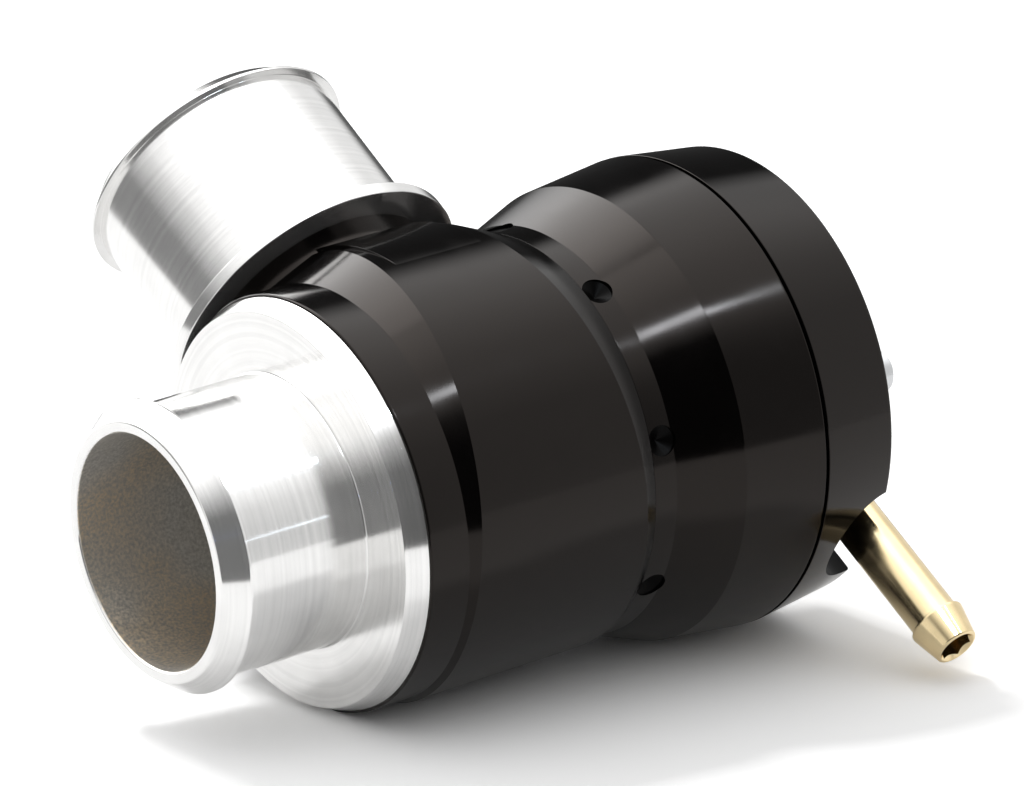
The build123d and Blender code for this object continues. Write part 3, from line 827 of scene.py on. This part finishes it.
@dataclass(frozen=True)
class SoftMatt:
    """Rubber, filled plastic, or a black that barely reflects and paints shade into holes; matt with a fine
    grain.
    """

    name: str
    colour: Colour
    roughness: float
    gloss: float = 0.5
    grain_scale: float = 2600.0
    grain_depth: float = 0.02
    grain_strength: float = 0.3

    def build(self) -> Material:
        """Builds the finish and returns its material."""
        shader = Shader(self.name)
        grain = shader.noise(self.grain_scale, 3.0)
        shader.set(
            Base_Color=self.colour,
            Roughness=shader.spread(grain, 0.85 * self.roughness, self.roughness, 0.3, 0.7),
            Specular_IOR_Level=self.gloss,
            Normal=shader.bump(grain, self.grain_depth, self.grain_strength),
        )
        return shader.material


Finish = TurnedAluminium | BlackAnodised | BrightMetal | SoftMatt
# A black that barely reflects: painted shade in the spanner holes and the cap's notch.
SHADE_BLACK = SoftMatt("anodised_recess_painted_shade", (0.0014, 0.0012, 0.0012), 0.35, 0.05)


def coat(finish: Finish) -> Material:
    """Returns the material of a finish, which is built once."""
    return bpy.data.materials.get(finish.name) or finish.build()


@dataclass(kw_only=True)
class Piece:
    """A finished piece of the housing: the node that it stands for, its material slot and its finish."""

    node: str
    slot: str
    finish: Finish

    def dress(self, piece: Solid) -> Solid:
        """Gives a mesh the piece's finish and puts it in its node's place.

        Args:
            piece: the finished mesh's object.

        Returns:
            The same object.
        """
        piece.data.materials.clear()
        piece.data.materials.append(coat(self.finish))
        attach(piece, HOUSING)
        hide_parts(self.node)
        LOG.info("%s: %d faces", piece.name, len(piece.data.polygons))
        return piece


@dataclass(kw_only=True)
class TurnedPiece(Piece):
    """A piece that is turned, carved, and shaded as the round surfaces that its faces stand for.

    Faces of the marked surface are drilled or milled, and get a black that barely reflects: painted shade in
    the holes.
    """

    axle: Axle
    steps: int
    shade_mark: Face | None = None

    def outline(self) -> list[Corner]:
        """Returns the corners of the piece's section."""
        raise NotImplementedError

    def shape(self, piece: Solid) -> None:
        """Carves the turned mesh, where the piece needs it.

        Args:
            piece: the turned object, which is changed.
        """

    def axles(self) -> dict[Face, Axle]:
        """Returns the axle of each turned surface."""
        return {Face.COAXIAL: self.axle}

    def build(self) -> Solid:
        """Builds and dresses the piece and returns it."""
        piece = turned(f"{self.node}_skin", self.axle, self.outline(), self.steps)
        self.shape(piece)
        shade_turned(piece, self.axles())
        self.dress(piece)
        # The marked faces get the black that paints shade into the holes.
        if self.shade_mark:
            marks = read(piece.data.attributes[SURFACE].data, "value", kind=int)
            piece.data.materials.append(coat(SHADE_BLACK))
            piece.data.polygons.foreach_set("material_index", (marks == self.shade_mark).astype(np.int32))
        return piece


@dataclass(kw_only=True)
class HoseSpigot(TurnedPiece):
    """What the two bare aluminium spigots share: the seat of the hose, its barb and the bore."""

    slot: str = "bare_aluminium"
    steps: int = SPIGOT_STEPS
    hose_r: float = 17.5
    barb_r: float = 18.6
    barb_land: float = 0.4
    tip_r: float = 16.5
    bore_r: float = BORE_R
    bore_edge: float = 0.25

    def mouth(self, tip: float, lead: float, way: int) -> list[Corner]:
        """Works out the corners from the hose's seat over the barb and the tip into the bore.

        Args:
            tip: station of the tip.
            lead: length of the barb with its conical lead-in.
            way: 1 where the stations rise towards the tip, or -1.

        Returns:
            The corners, in that order.
        """
        crest = tip - way * lead
        return [
            Corner(crest, self.hose_r, STEP),
            Corner(crest, self.barb_r, FINE),
            Corner(crest + way * self.barb_land, self.barb_r, FINE),
            Corner(tip, self.tip_r, RIM),
            Corner(tip, self.bore_r + self.bore_edge, FINE),
            Corner(tip - way * self.bore_edge, self.bore_r, FINE),
        ]


@dataclass
class InletSpigot(HoseSpigot):
    """The spigot that the inlet hose goes on, with its round flange."""

    node: str = "inlet_spigot"
    finish: Finish = TurnedAluminium("inlet_aluminium", VALVE_AXLE, BORE_R)
    axle: Axle = VALVE_AXLE
    reach: float = 20.8
    lead: float = 3.3
    flange_front_r: float = 25.3
    flange_back_r: float = 26.45
    plug: float = 6.4
    seat_in_r: float = 15.4
    seat_out_r: float = 16.6
    seat: float = 0.4

    def outline(self) -> list[Corner]:
        """Returns the corners of the spigot's section."""
        plug_end = FLANGE + self.plug
        bore, *mouth = reversed(self.mouth(-self.reach, self.lead, -1))
        return [
            *mouth,
            Corner(0, self.hose_r, ROOT),
            Corner(0, self.flange_front_r, FINE),
            Corner(FLANGE, self.flange_back_r, FINE),
            Corner(FLANGE, PLUG_R),
            Corner(plug_end, PLUG_R),
            Corner(plug_end, self.seat_out_r),
            Corner(plug_end + self.seat, self.seat_out_r),
            Corner(plug_end + self.seat, self.seat_in_r),
            Corner(plug_end, self.bore_r),
            bore,
        ]


@dataclass
class OutletSpigot(HoseSpigot):
    """The spigot at a right angle to the valve, with its thin flange."""

    node: str = "outlet_spigot"
    finish: Finish = TurnedAluminium("outlet_aluminium", OUTLET_AXLE, BORE_R, groove_strength=0.1)
    axle: Axle = OUTLET_AXLE
    reach: float = 25.6
    lead: float = 2.5
    flange: float = 1.8
    flange_r: float = 20.5
    flange_rim: Edge = Edge(0.2, 3)
    throat: float = 4.0

    def outline(self) -> list[Corner]:
        """Returns the corners of the spigot's section."""
        plug = OUTLET_FACE - OUTLET_PLUG
        top = OUTLET_FACE + self.flange
        return [
            Corner(plug, PORT_R),
            Corner(plug, OUTLET_PLUG_R),
            Corner(OUTLET_FACE, OUTLET_PLUG_R),
            Corner(OUTLET_FACE, self.flange_r, self.flange_rim),
            Corner(top, self.flange_r, self.flange_rim),
            Corner(top, self.hose_r, ROOT),
            *self.mouth(top + self.reach, self.lead, 1),
            Corner(OUTLET_FACE + self.throat, self.bore_r),
            Corner(OUTLET_FACE, PORT_R),
        ]


@dataclass
class ValveBody(TurnedPiece):
    """The black body: an off-centre barrel between two cones, with a raised band and the outlet's boss."""

    node: str = "valve_body"
    slot: str = "black_anodised"
    finish: Finish = BlackAnodised("body_anodised", VALVE_AXLE)
    axle: Axle = VALVE_AXLE
    steps: int = BODY_STEPS
    neck_r: float = 26.8
    neck: float = 5.7
    neck_chamfer: Edge = Edge(0.35, 3)
    neck_slope: float = 0.388
    waist_slope: float = 0.41
    belly_r: float = 28.5
    belly_axle: Axle = VALVE_AXLE.shifted(sideways=1.3)
    land_r: float = 28.05
    land_root_r: float = 24.0
    land_axle: Axle = VALVE_AXLE.shifted(sideways=2.5)
    land: float = 13.2
    boss_r: float = 16.6
    boss_root: float = 23.0
    lip_r: float = 27.34
    plug_end: float = 9.2
    chamber_r: float = 20.4
    sleeve_x: float = 38.0
    screw_neck_edge: Edge = Edge(0.3)
    port_start: float = 15.0
    port_twist: float = 0.37
    oversize: float = 32.3
    overlap: float = 0.02

    def outline(self) -> list[Corner]:
        """Returns the corners of the two cones, which meet the barrel outside it."""
        wide = self.oversize
        return [
            Corner(FLANGE, PLUG_R),
            Corner(FLANGE, self.neck_r, self.neck_chamfer),
            Corner(FLANGE + self.neck, self.neck_r, CRISP),
            Corner(FLANGE + self.neck + (wide - self.neck_r) / self.neck_slope, wide),
            Corner(JOINT_X - (wide - WAIST_R) / self.waist_slope, wide),
            Corner(JOINT_X, WAIST_R, CRISP),
            Corner(JOINT_X, SCREW_NECK_R),
            Corner(SCREW_NECK_END, SCREW_NECK_R, self.screw_neck_edge),
            Corner(SCREW_NECK_END, SLEEVE_R),
            Corner(self.sleeve_x, SLEEVE_R),
            Corner(self.sleeve_x, self.chamber_r),
            Corner(self.plug_end, self.chamber_r),
            Corner(self.plug_end, PLUG_R),
        ]

    def band(self) -> Solid:
        """Builds the raised band round the outlet about its own axle and returns it."""
        start = OUTLET_STATION - self.land / 2
        end = start + self.land
        corners = [
            Corner(start, self.land_root_r),
            Corner(start, self.land_r, EASED),
            Corner(end, self.land_r, EASED),
            Corner(end, self.land_root_r),
        ]
        return turned("band", self.land_axle, corners, BODY_STEPS, Face.LAND)

    def boss(self) -> Solid:
        """Builds the outlet's boss, cleared of the shell's waist, and returns it.

        The clearance starts a hair inside the barrel's end, so that no two faces lie in one plane.
        """
        outline = rod(self.boss_root, OUTLET_FACE + 1, self.boss_r)
        piece = turned("boss", OUTLET_AXLE, outline, BODY_STEPS, Face.BOSS)
        clearance = rod(JOINT_X - self.overlap, JOINT_X + self.boss_r, self.lip_r)
        carve(piece, turned("clearance", VALVE_AXLE, clearance, BODY_STEPS), Cut.REMOVE)
        return piece

    def port(self) -> Solid:
        """Builds the stepped drill of the outlet's port and its spigot's socket, and returns it."""
        seat = OUTLET_FACE - OUTLET_PLUG
        corners = [
            Corner(self.port_start, 0),
            Corner(self.port_start, PORT_R, SHARP),
            Corner(seat, PORT_R, SHARP),
            *rod(seat, OUTLET_FACE + 1, OUTLET_PLUG_R)[1:],
        ]
        return turned("port", OUTLET_AXLE.twisted(self.port_twist), corners, TOOL_STEPS, Face.BOSS)

    def shape(self, piece: Solid) -> None:
        """Cuts the cones to the barrel, adds the band and the boss and cuts the outlet's seat and port.

        Args:
            piece: the turned cones, which are changed.
        """
        belly = rod(0.0, SCREW_NECK_END + FLANGE, self.belly_r)
        beyond = rod(OUTLET_FACE, OUTLET_FACE + self.oversize, 2 * JOINT_X)
        carve(piece, turned("belly", self.belly_axle, belly, BODY_STEPS, Face.BELLY), Cut.KEEP)
        carve(piece, self.band(), Cut.ADD)
        carve(piece, self.boss(), Cut.ADD)
        carve(piece, turned("beyond", OUTLET_AXLE, beyond, BLOCK_STEPS, Face.FLAT), Cut.REMOVE)
        carve(piece, self.port(), Cut.REMOVE)
        weld(piece)

    def axles(self) -> dict[Face, Axle]:
        """Returns the axle of each turned surface."""
        others = {Face.BELLY: self.belly_axle, Face.LAND: self.land_axle, Face.BOSS: OUTLET_AXLE}
        return {Face.COAXIAL: self.axle, **others}


@dataclass
class UpperShell(TurnedPiece):
    """The black shell that widens from the waist to the seam, with its spanner holes."""

    node: str = "upper_shell"
    slot: str = "black_anodised"
    finish: Finish = BlackAnodised("shell_anodised", VALVE_AXLE)
    axle: Axle = VALVE_AXLE
    steps: int = BODY_STEPS
    shade_mark: Face = Face.DRILL
    cone_start: float = 40.6
    cone_start_r: float = 26.84
    cone_end: float = 49.2
    cone_end_r: float = 29.95
    seam_edge: Edge = Edge(0.3, 3)
    holes: int = 8
    hole_x: float = 39.1
    hole_r: float = 1.95
    hole_floor_r: float = 25.24
    hole_point: float = 1.17
    hole_shank: float = 6.0

    def outline(self) -> list[Corner]:
        """Returns the corners of the shell's section."""
        return [
            Corner(JOINT_X, SCREW_NECK_R),
            Corner(JOINT_X, WAIST_R, CRISP),
            Corner(self.cone_start, self.cone_start_r, CRISP),
            Corner(self.cone_end, self.cone_end_r, FINE),
            Corner(SEAM_X, SEAM_R, self.seam_edge),
            Corner(SEAM_X, SLEEVE_R),
            Corner(SCREW_NECK_END, SLEEVE_R),
            Corner(SCREW_NECK_END, SCREW_NECK_R),
        ]

    def drills(self) -> Solid:
        """Makes the ring of drill points that cuts the spanner holes, and returns it as one object."""
        tree = GeometryTree("spanner_drills")
        count = tree.size("Holes", "Int", self.holes)
        radius = tree.length("Hole radius", self.hole_r)
        floor = tree.length("Floor radius", self.hole_floor_r)
        point = tree.length("Point length", self.hole_point)
        shank = tree.length("Shank length", self.hole_shank)
        tip = tree.cone(DRILL_STEPS, 0.0, radius, point)
        barrel = tree.raised(tree.cone(DRILL_STEPS, radius, radius, shank), point)
        mark = {
            "Geometry": tree.carved(Cut.ADD, {"Mesh 2": [tip, barrel]}),
            "Name": SURFACE,
            "Value": int(Face.DRILL),
        }
        marked = tree.add("GeometryNodeStoreNamedAttribute", mark, data_type="INT", domain="FACE")
        ring = tree.ring(count, floor, marked.outputs[0], outwards=True)
        drills = tree.finish("spanner_drills", ring, coat(self.finish))
        drills.data.transform(VALVE_AXLE.shifted(along=self.hole_x).matrix())
        LOG.info("spanner drills: %d faces", len(drills.data.polygons))
        return drills

    def shape(self, piece: Solid) -> None:
        """Drills the spanner holes."""
        carve(piece, self.drills(), Cut.REMOVE)


@dataclass
class Cap(TurnedPiece):
    """The black cap, with a fine groove at the seam and a half-round notch for the vacuum hose."""

    node: str = "cap"
    slot: str = "black_anodised"
    finish: Finish = BlackAnodised("cap_anodised", VALVE_AXLE)
    axle: Axle = VALVE_AXLE
    steps: int = BODY_STEPS
    shade_mark: Face = Face.BOSS
    plug_x: float = 58.0
    plug_bore_r: float = 17.2
    plug_edge: Edge = Edge(0.2)
    groove: float = 0.42
    groove_depth: float = 1.0
    groove_edge: Edge = Edge(0.15, 3)
    end_r: float = 30.0
    end_edge: Edge = Edge(0.5, 6)
    hub_r: float = 13.0
    hub: float = 7.0
    hub_root: Edge = Edge(0.3, 4)
    hub_chamfer: Edge = Edge(0.8, 1)
    ceiling: float = 63.4
    notch_axle: Axle = Axle((CAP_END, 0, 0), NIPPLE_DIRECTION, (1, 0, 0))
    notch_r: float = 7.6
    notch_root: Edge = Edge(0.3, 4)
    notch_over: float = 4.0
    nipple_seat: float = 12.0

    def outline(self) -> list[Corner]:
        """Returns the corners of the cap's section."""
        groove_end, groove_r = SEAM_X + self.groove, SEAM_R - self.groove_depth
        return [
            Corner(self.plug_x, self.plug_bore_r),
            Corner(self.plug_x, SLEEVE_R, self.plug_edge),
            Corner(SEAM_X, SLEEVE_R),
            Corner(SEAM_X, groove_r, CRISP),
            Corner(groove_end, groove_r, CRISP),
            Corner(groove_end, SEAM_R, self.groove_edge),
            Corner(CAP_END, self.end_r, self.end_edge),
            Corner(CAP_END, self.hub_r, self.hub_root),
            Corner(CAP_END + self.hub, self.hub_r, self.hub_chamfer),
            Corner(CAP_END + self.hub, 0),
            Corner(self.ceiling, 0),
            Corner(self.ceiling, self.plug_bore_r),
        ]

    def shape(self, piece: Solid) -> None:
        """Cuts the notch."""
        notch = rod(self.nipple_seat, SEAM_R + self.notch_over, self.notch_r, self.notch_root)
        carve(piece, turned("notch", self.notch_axle, notch, TOOL_STEPS, Face.BOSS), Cut.REMOVE)

    def axles(self) -> dict[Face, Axle]:
        """Returns the axle of each turned surface."""
        return {Face.COAXIAL: self.axle, Face.BOSS: self.notch_axle}


@dataclass
class CapScrews(Piece):
    """The four socket screws of the cap."""

    node: str = "cap_screws"
    slot: str = "stainless"
    finish: Finish = BrightMetal("screw_steel", VALVE_AXLE, (0.66, 0.67, 0.68), 0.22, smear=0.0)
    count: int = 4
    circle_r: float = 25.0
    steps: int = 64
    head_r: float = 2.75
    head: float = 3.0
    edge: float = 0.25
    socket: float = 2.5
    socket_depth: float = 1.5
    first_turn: float = 45.0

    def build(self) -> Solid:
        """Builds and dresses the screws and returns them."""
        tree = GeometryTree("cap_screws")
        count = tree.size("Screws", "Int", self.count)
        circle_r = tree.length("Circle radius", self.circle_r)
        head_r = tree.length("Head radius", self.head_r)
        top_r = tree.length("Top radius", self.head_r - self.edge)
        head = tree.length("Head height", self.head - self.edge)
        edge = tree.length("Broken edge", self.edge)
        corner_r = tree.length("Socket corner radius", hexagon_r(self.socket))
        depth = tree.length("Socket depth", 2 * self.socket_depth)
        barrel = tree.cone(self.steps, head_r, head_r, head)
        crown = tree.raised(tree.cone(self.steps, head_r, top_r, edge), head)
        whole = tree.carved(Cut.ADD, {"Mesh 2": [barrel, crown]})
        hexagon = {"Vertices": 6, "Radius": corner_r, "Depth": depth}
        key = tree.add("GeometryNodeMeshCylinder", hexagon).outputs["Mesh"]
        top = tree.add("ShaderNodeMath", {0: head, 1: edge}, operation="ADD").outputs[0]
        screw = tree.carved(Cut.REMOVE, {"Mesh 1": whole, "Mesh 2": tree.raised(key, top)})
        heads = tree.ring(count, circle_r, screw, outwards=False)
        piece = tree.finish("cap_screws_skin", heads, coat(self.finish))
        turn = Matrix.Rotation(math.radians(self.first_turn), 4, "Z")
        piece.data.transform(VALVE_AXLE.shifted(along=CAP_END).matrix() @ turn)
        piece.data.shade_smooth()
        piece.data.set_sharp_from_angle(angle=SCREW_SMOOTH_LIMIT)
        return self.dress(piece)


def hexagon_r(across_flats: float) -> float:
    """Returns a hexagon's radius to its corners."""
    return across_flats / 2 / math.cos(math.pi / 6)


@dataclass
class VacuumNipple(TurnedPiece):
    """The brass hose nipple, with its collar, its barb and the hexagon in its mouth."""

    node: str = "vacuum_nipple"
    slot: str = "brass"
    finish: Finish = BrightMetal("nipple_brass", NIPPLE_AXLE, (0.88, 0.71, 0.42), 0.15, smear=0.6)
    axle: Axle = NIPPLE_AXLE
    steps: int = NIPPLE_STEPS
    root_start: float = 5.5
    bore_r: float = 1.5
    root_r: float = 3.0
    collar_x: float = 12.6
    collar: float = 2.0
    collar_r: float = 4.4
    hose_r: float = 3.3
    lead_x: float = 45.0
    barb_r: float = 3.8
    barb_land: float = 0.3
    reach: float = 49.5
    tip_r: float = 2.9
    hexagon: float = 4.0
    hexagon_depth: float = 4.0
    mouth_r: float = 2.5
    mouth_twist: float = 1.3

    def outline(self) -> list[Corner]:
        """Returns the corners of the nipple's section."""
        seat = self.collar_x + self.collar
        return [
            Corner(self.root_start, self.bore_r),
            Corner(self.root_start, self.root_r),
            Corner(self.collar_x, self.root_r),
            Corner(self.collar_x, self.collar_r, SOFT),
            Corner(seat, self.collar_r, SOFT),
            Corner(seat, self.hose_r),
            Corner(self.lead_x, self.hose_r, CRISP),
            Corner(self.lead_x, self.barb_r),
            Corner(self.lead_x + self.barb_land, self.barb_r, EASED),
            Corner(self.reach, self.tip_r, RIM),
            Corner(self.reach, self.bore_r),
        ]

    def shape(self, piece: Solid) -> None:
        """Cuts the hexagon and a countersink that falls by 45 degrees.

        Args:
            piece: the turned nipple, which is changed.
        """
        hexagon = rod(self.reach - self.hexagon_depth, self.reach + 1, hexagon_r(self.hexagon))
        carve(piece, turned("hexagon", NIPPLE_AXLE, hexagon, 6, Face.FLAT), Cut.REMOVE)
        sink = [
            Corner(self.reach - self.mouth_r, 0),
            Corner(self.reach + 1, self.mouth_r + 1, SHARP),
            Corner(self.reach + 1, 0),
        ]
        sink_axle = NIPPLE_AXLE.twisted(self.mouth_twist)
        carve(piece, turned("countersink", sink_axle, sink, NIPPLE_STEPS), Cut.REMOVE)


@dataclass
class ReturnSpring(Piece):
    """The return spring, which the piston squeezes against its seat under the cap."""

    node: str = "return_spring"
    slot: str = "spring_steel"
    finish: Finish = BrightMetal("spring_steel", VALVE_AXLE, (0.38, 0.38, 0.39), 0.3, smear=0.0)
    fixed_end: float = 62.6
    lift: float = 9.0

    def build(self) -> Solid:
        """Builds and dresses the spring and returns it."""
        piece = place(f"{self.node}_skin", frame["nodes"][self.node].data.copy())
        weld(piece)
        self.dress(piece)
        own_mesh(piece)
        return piece


@dataclass(frozen=True)
class InnerPieces:
    """The pieces inside, which keep their own meshes and get a finish."""

    finishes: tuple[tuple[Finish, tuple[str, ...]], ...] = (
        (BrightMetal("sleeve_bronze", VALVE_AXLE, (0.60, 0.40, 0.22), 0.25), ("guide_sleeve",)),
        (BrightMetal("piston_hard_coat", VALVE_AXLE, (0.62, 0.62, 0.62), 0.28), ("piston", "seal_retainer")),
        (
            BrightMetal("retainer_screw_steel", VALVE_AXLE, (0.62, 0.61, 0.59), 0.2, smear=0.2),
            ("retainer_screw", "spring_seat"),
        ),
        (SoftMatt("filled_ptfe", (0.12, 0.12, 0.12), 0.5), ("piston_wear_ring",)),
        (SoftMatt("filled_ptfe_seal", (0.12, 0.12, 0.12), 0.5), ("piston_seal",)),
        (SoftMatt("washer_rubber", (0.03, 0.03, 0.03), 0.6), ("nipple_washer",)),
        (
            SoftMatt("seal_rubber", (0.02, 0.02, 0.02), 0.55),
            ("piston_face_seal", "inlet_seal", "outlet_seal", "shell_seal", "sleeve_seal", "cap_seal"),
        ),
    )

    def build(self) -> None:
        """Dresses every node that no skin stands for."""
        for finish, nodes in self.finishes:
            for node in nodes:
                for slot in frame["nodes"][node].material_slots:
                    slot.material = coat(finish)
        LOG.info("inner pieces: %d dressed", sum(len(nodes) for _, nodes in self.finishes))


@dataclass(frozen=True)
class Patch:
    """A soft-edged patch of the room, as the mirror finishes see it, in degrees of azimuth and elevation."""

    azimuths: tuple[float, float]
    elevations: tuple[float, float]
    tone: float
    fade: tuple[float, float]

    def share(self, sky: ShaderNodes, azimuth: object, elevation: object) -> Socket:
        """Measures how far a direction is in the patch.

        Args:
            sky: the world's nodes.
            azimuth: the direction's azimuth, in degrees.
            elevation: its elevation, in degrees.

        Returns:
            1 in the patch and 0 outside it.
        """
        result: object = 1.0
        ranges = (self.azimuths, self.elevations)
        for angle, (low, high), fade in zip((azimuth, elevation), ranges, self.fade):
            rise = sky.ramp(angle, low - fade / 2, low + fade / 2)
            fall = sky.spread(angle, 1.0, 0.0, high - fade / 2, high + fade / 2)
            result = sky.math("MULTIPLY", result, sky.math("MULTIPLY", rise, fall))
        return result


@dataclass(frozen=True)
class Lamp:
    """An area lamp that faces the valve: it only lights, or it only makes highlights where it is mirrored.

    Azimuth and elevation are in degrees, its distance from the valve's middle and its width and height in
    millimetres, and its power in watts. It shines on all pieces, or only on the ones named.
    """

    name: str
    azimuth: float
    elevation: float
    distance: float
    size: tuple[float, float]
    power: float
    tone: Colour = WHITE
    mirrored: bool = False
    only: tuple[str, ...] = ()


@dataclass
class Studio:
    """The pale table, the room that the metal mirrors, the lamps and the camera.

    Azimuths are degrees from +X towards +Y, and elevations degrees above the valve's own horizontal plane.
    A range of tones comes with the two elevations, or the two distances, that it changes between.
    """

    floor_slope: float = 0.0829
    floor_point: tuple[float, float, float] = (2.8, 0.0, -26.45)
    floor_size: float = 6000.0
    floor_tone: tuple[float, float] = (0.90, 1.08)
    floor_seen: float = 1.25
    paper_scale: float = 3.0
    paper_roughness: tuple[float, float] = (0.88, 0.95)
    table: tuple[float, float] = (215.0, 227.0)
    front_edge: tuple[float, float, float] = (-0.764, -0.645, 0.0)
    front: tuple[float, float] = (88.0, 91.0)
    daylight: tuple[float, float, float, float] = (0.40, 1.15, 10, 80)
    wall: tuple[float, float, float, float] = (0.92, 1.8, 26, 64)
    ceiling: tuple[float, float, float, float] = (0.0, 1.4, 64, 88)
    camera_place: tuple[float, float, float] = (-386.0, -584.5, 242.1)
    camera_target: tuple[float, float, float] = (26.7, -12.6, 11.4)
    lens: float = 210.94
    sensor: float = 36.0
    sight: float = 50.0
    patches: tuple[Patch, ...] = (
        Patch((-10, 75), (43, 95), 2.1, (40, 10)),
        Patch((60, 135), (10, 95), 5.0, (30, 50)),
        Patch((35, 67), (-40, 40), 0.05, (8, 9)),
        Patch((120, 164), (-40, 20), 0.20, (14, 24)),
        Patch((-90, -60), (-40, 45), 0.35, (8, 12)),
        Patch((-160, -100), (-40, 37), 0.12, (8, 26)),
        Patch((-103, -77), (-40, 46), 0.012, (3, 9)),
    )
    lamps: tuple[Lamp, ...] = (
        Lamp("key_box", 87, 57, 1500.0, (200.0, 200.0), 8.4),
        Lamp("cone_strip", -95, 53.5, 900.0, (290.0, 60.0), 1.35, COLD, True),
        Lamp("shell_spot", -55, 47.5, 900.0, (40.0, 40.0), 0.34, COLD, True),
        Lamp("tube_line", -45, 43.0, 900.0, (110.0, 7.0), 0.03, WHITE, True, INLET_ONLY),
        Lamp("tube_glint", -58, 6.5, 900.0, (90.0, 5.0), 0.012, COLD, True, INLET_ONLY),
        Lamp("tip_glint", -144, 9, 900.0, (24.0, 9.0), 0.02, BLUE, True, INLET_ONLY),
    )

    def up(self) -> Vector:
        """Returns the floor's normal."""
        return Vector((self.floor_slope, 0, 1)).normalized()

    def paper(self) -> Material:
        """Builds the table's finish and returns its material.

        In a mirror the table ends near the valve, as in the photograph, and to the camera it is paler.
        """
        shader = Shader("floor_paper")
        path = shader.add("ShaderNodeLightPath").outputs
        mirrored = shader.spread(path["Is Glossy Ray"], *self.floor_tone)
        seen = shader.blend(path["Is Camera Ray"], mirrored, self.floor_seen)
        middle = tuple(coordinate * MM for coordinate in self.camera_target)
        away = shader.vector("SUBTRACT", shader.position(), middle)
        distance = shader.vector("LENGTH", away, output="Value")
        beyond = shader.ramp(distance, self.table[0] * MM, self.table[1] * MM)
        ahead = shader.vector("DOT_PRODUCT", shader.position(), self.front_edge, "Value")
        past = shader.ramp(ahead, self.front[0] * MM, self.front[1] * MM)
        hidden = shader.math("MULTIPLY", shader.math("MAXIMUM", beyond, past), path["Is Glossy Ray"])
        shader.set(
            Base_Color=shader.add("ShaderNodeCombineColor", {0: seen, 1: seen, 2: seen}).outputs[0],
            Roughness=shader.spread(shader.noise(self.paper_scale), *self.paper_roughness),
            Specular_IOR_Level=0.0,
            Alpha=shader.math("SUBTRACT", 1.0, hidden),
        )
        return shader.material

    def floor(self) -> None:
        """Lays the table that the valve lies on."""
        across = Vector((0, 1, 0))
        ahead = across.cross(self.up()).normalized()
        middle = Vector(self.floor_point)
        half = self.floor_size / 2
        corners = []
        for first, second in ((-1, -1), (1, -1), (1, 1), (-1, 1)):
            corners.append((middle + ahead * first * half + across * second * half) * MM)
        mesh = bpy.data.meshes.new("floor")
        mesh.from_pydata([tuple(corner) for corner in corners], [], [(0, 1, 2, 3)])
        piece = place("floor", mesh)
        piece.data.materials.append(self.paper())

    def world(self) -> None:
        """Makes the room: white to the camera, plain light on the pieces, and patches in their mirrors."""
        world = bpy.data.worlds.new("white_room")
        bpy.context.scene.world = world
        world.use_nodes = True
        sky = ShaderNodes(world.node_tree)
        way = sky.add("ShaderNodeTexCoord").outputs["Generated"]
        ray = sky.add("ShaderNodeSeparateXYZ", {0: way}).outputs
        azimuth = sky.math("DEGREES", sky.math("ARCTAN2", ray[1], ray[0]))
        elevation = sky.math("DEGREES", sky.math("ARCSINE", ray[2]))
        room = sky.math("ADD", sky.spread(elevation, *self.wall), sky.spread(elevation, *self.ceiling))
        for patch in self.patches:
            room = sky.blend(patch.share(sky, azimuth, elevation), room, patch.tone)
        path = sky.add("ShaderNodeLightPath").outputs
        white = sky.math("MAXIMUM", path["Is Camera Ray"], path["Is Transmission Ray"])
        level = sky.blend(white, sky.spread(elevation, *self.daylight), 1.0)
        background = world.node_tree.nodes["Background"].inputs
        sky.fill(background["Color"], WHITE)
        sky.fill(background["Strength"], sky.blend(path["Is Glossy Ray"], level, room))

    def hang(self, lamp: Lamp) -> None:
        """Hangs a lamp and turns it towards the valve.

        Args:
            lamp: what it is and where it hangs.
        """
        turn, rise = math.radians(lamp.azimuth), math.radians(lamp.elevation)
        ray = Vector((math.cos(rise) * math.cos(turn), math.cos(rise) * math.sin(turn), math.sin(rise)))
        middle = Vector(self.camera_target)
        spot = (middle + ray * lamp.distance) * MM
        data = bpy.data.lights.new(lamp.name, "AREA")
        data.shape = "RECTANGLE"
        data.size = lamp.size[0] * MM
        data.size_y = lamp.size[1] * MM
        data.energy = lamp.power
        data.color = lamp.tone
        light = bpy.data.objects.new(lamp.name, data)
        bpy.context.scene.collection.objects.link(light)
        light.location = spot
        light.rotation_euler = (middle * MM - spot).to_track_quat("-Z", "Y").to_euler()
        light.visible_diffuse = not lamp.mirrored
        light.visible_glossy = lamp.mirrored
        if lamp.only:
            chosen = bpy.data.collections.new(f"{lamp.name}_pieces")
            for piece in lamp.only:
                chosen.objects.link(bpy.data.objects[piece])
            light.light_linking.receiver_collection = chosen

    def camera(self) -> None:
        """Stands the camera at the photograph's place."""
        data = bpy.data.cameras.new("camera")
        data.lens = self.lens
        data.sensor_width = self.sensor
        data.sensor_fit = "HORIZONTAL"
        data.clip_end = self.sight
        camera = bpy.data.objects.new("camera", data)
        bpy.context.scene.collection.objects.link(camera)
        spot = Vector(self.camera_place) * MM
        ahead = (Vector(self.camera_target) * MM - spot).normalized()
        right = ahead.cross(self.up()).normalized()
        above = right.cross(ahead)
        turn = Matrix((right, above, -ahead)).transposed()
        camera.matrix_world = Matrix.Translation(spot) @ turn.to_4x4()
        bpy.context.scene.camera = camera

    def build(self) -> None:
        """Builds the studio."""
        self.floor()
        self.world()
        for lamp in self.lamps:
            self.hang(lamp)
        self.camera()
        bpy.context.scene.view_settings.view_transform = "Standard"
        LOG.info("studio: floor, room, lamps and camera")


def main() -> None:
    """Builds the valve piece by piece, then the studio."""
    logging.basicConfig(level=logging.INFO, format="%(name)s %(message)s")
    parts = (InletSpigot, OutletSpigot, ValveBody, UpperShell, Cap, CapScrews, VacuumNipple, ReturnSpring)
    for part in parts:
        part().build()
    InnerPieces().build()
    Studio().build()


if __name__ == "__main__":
    main()
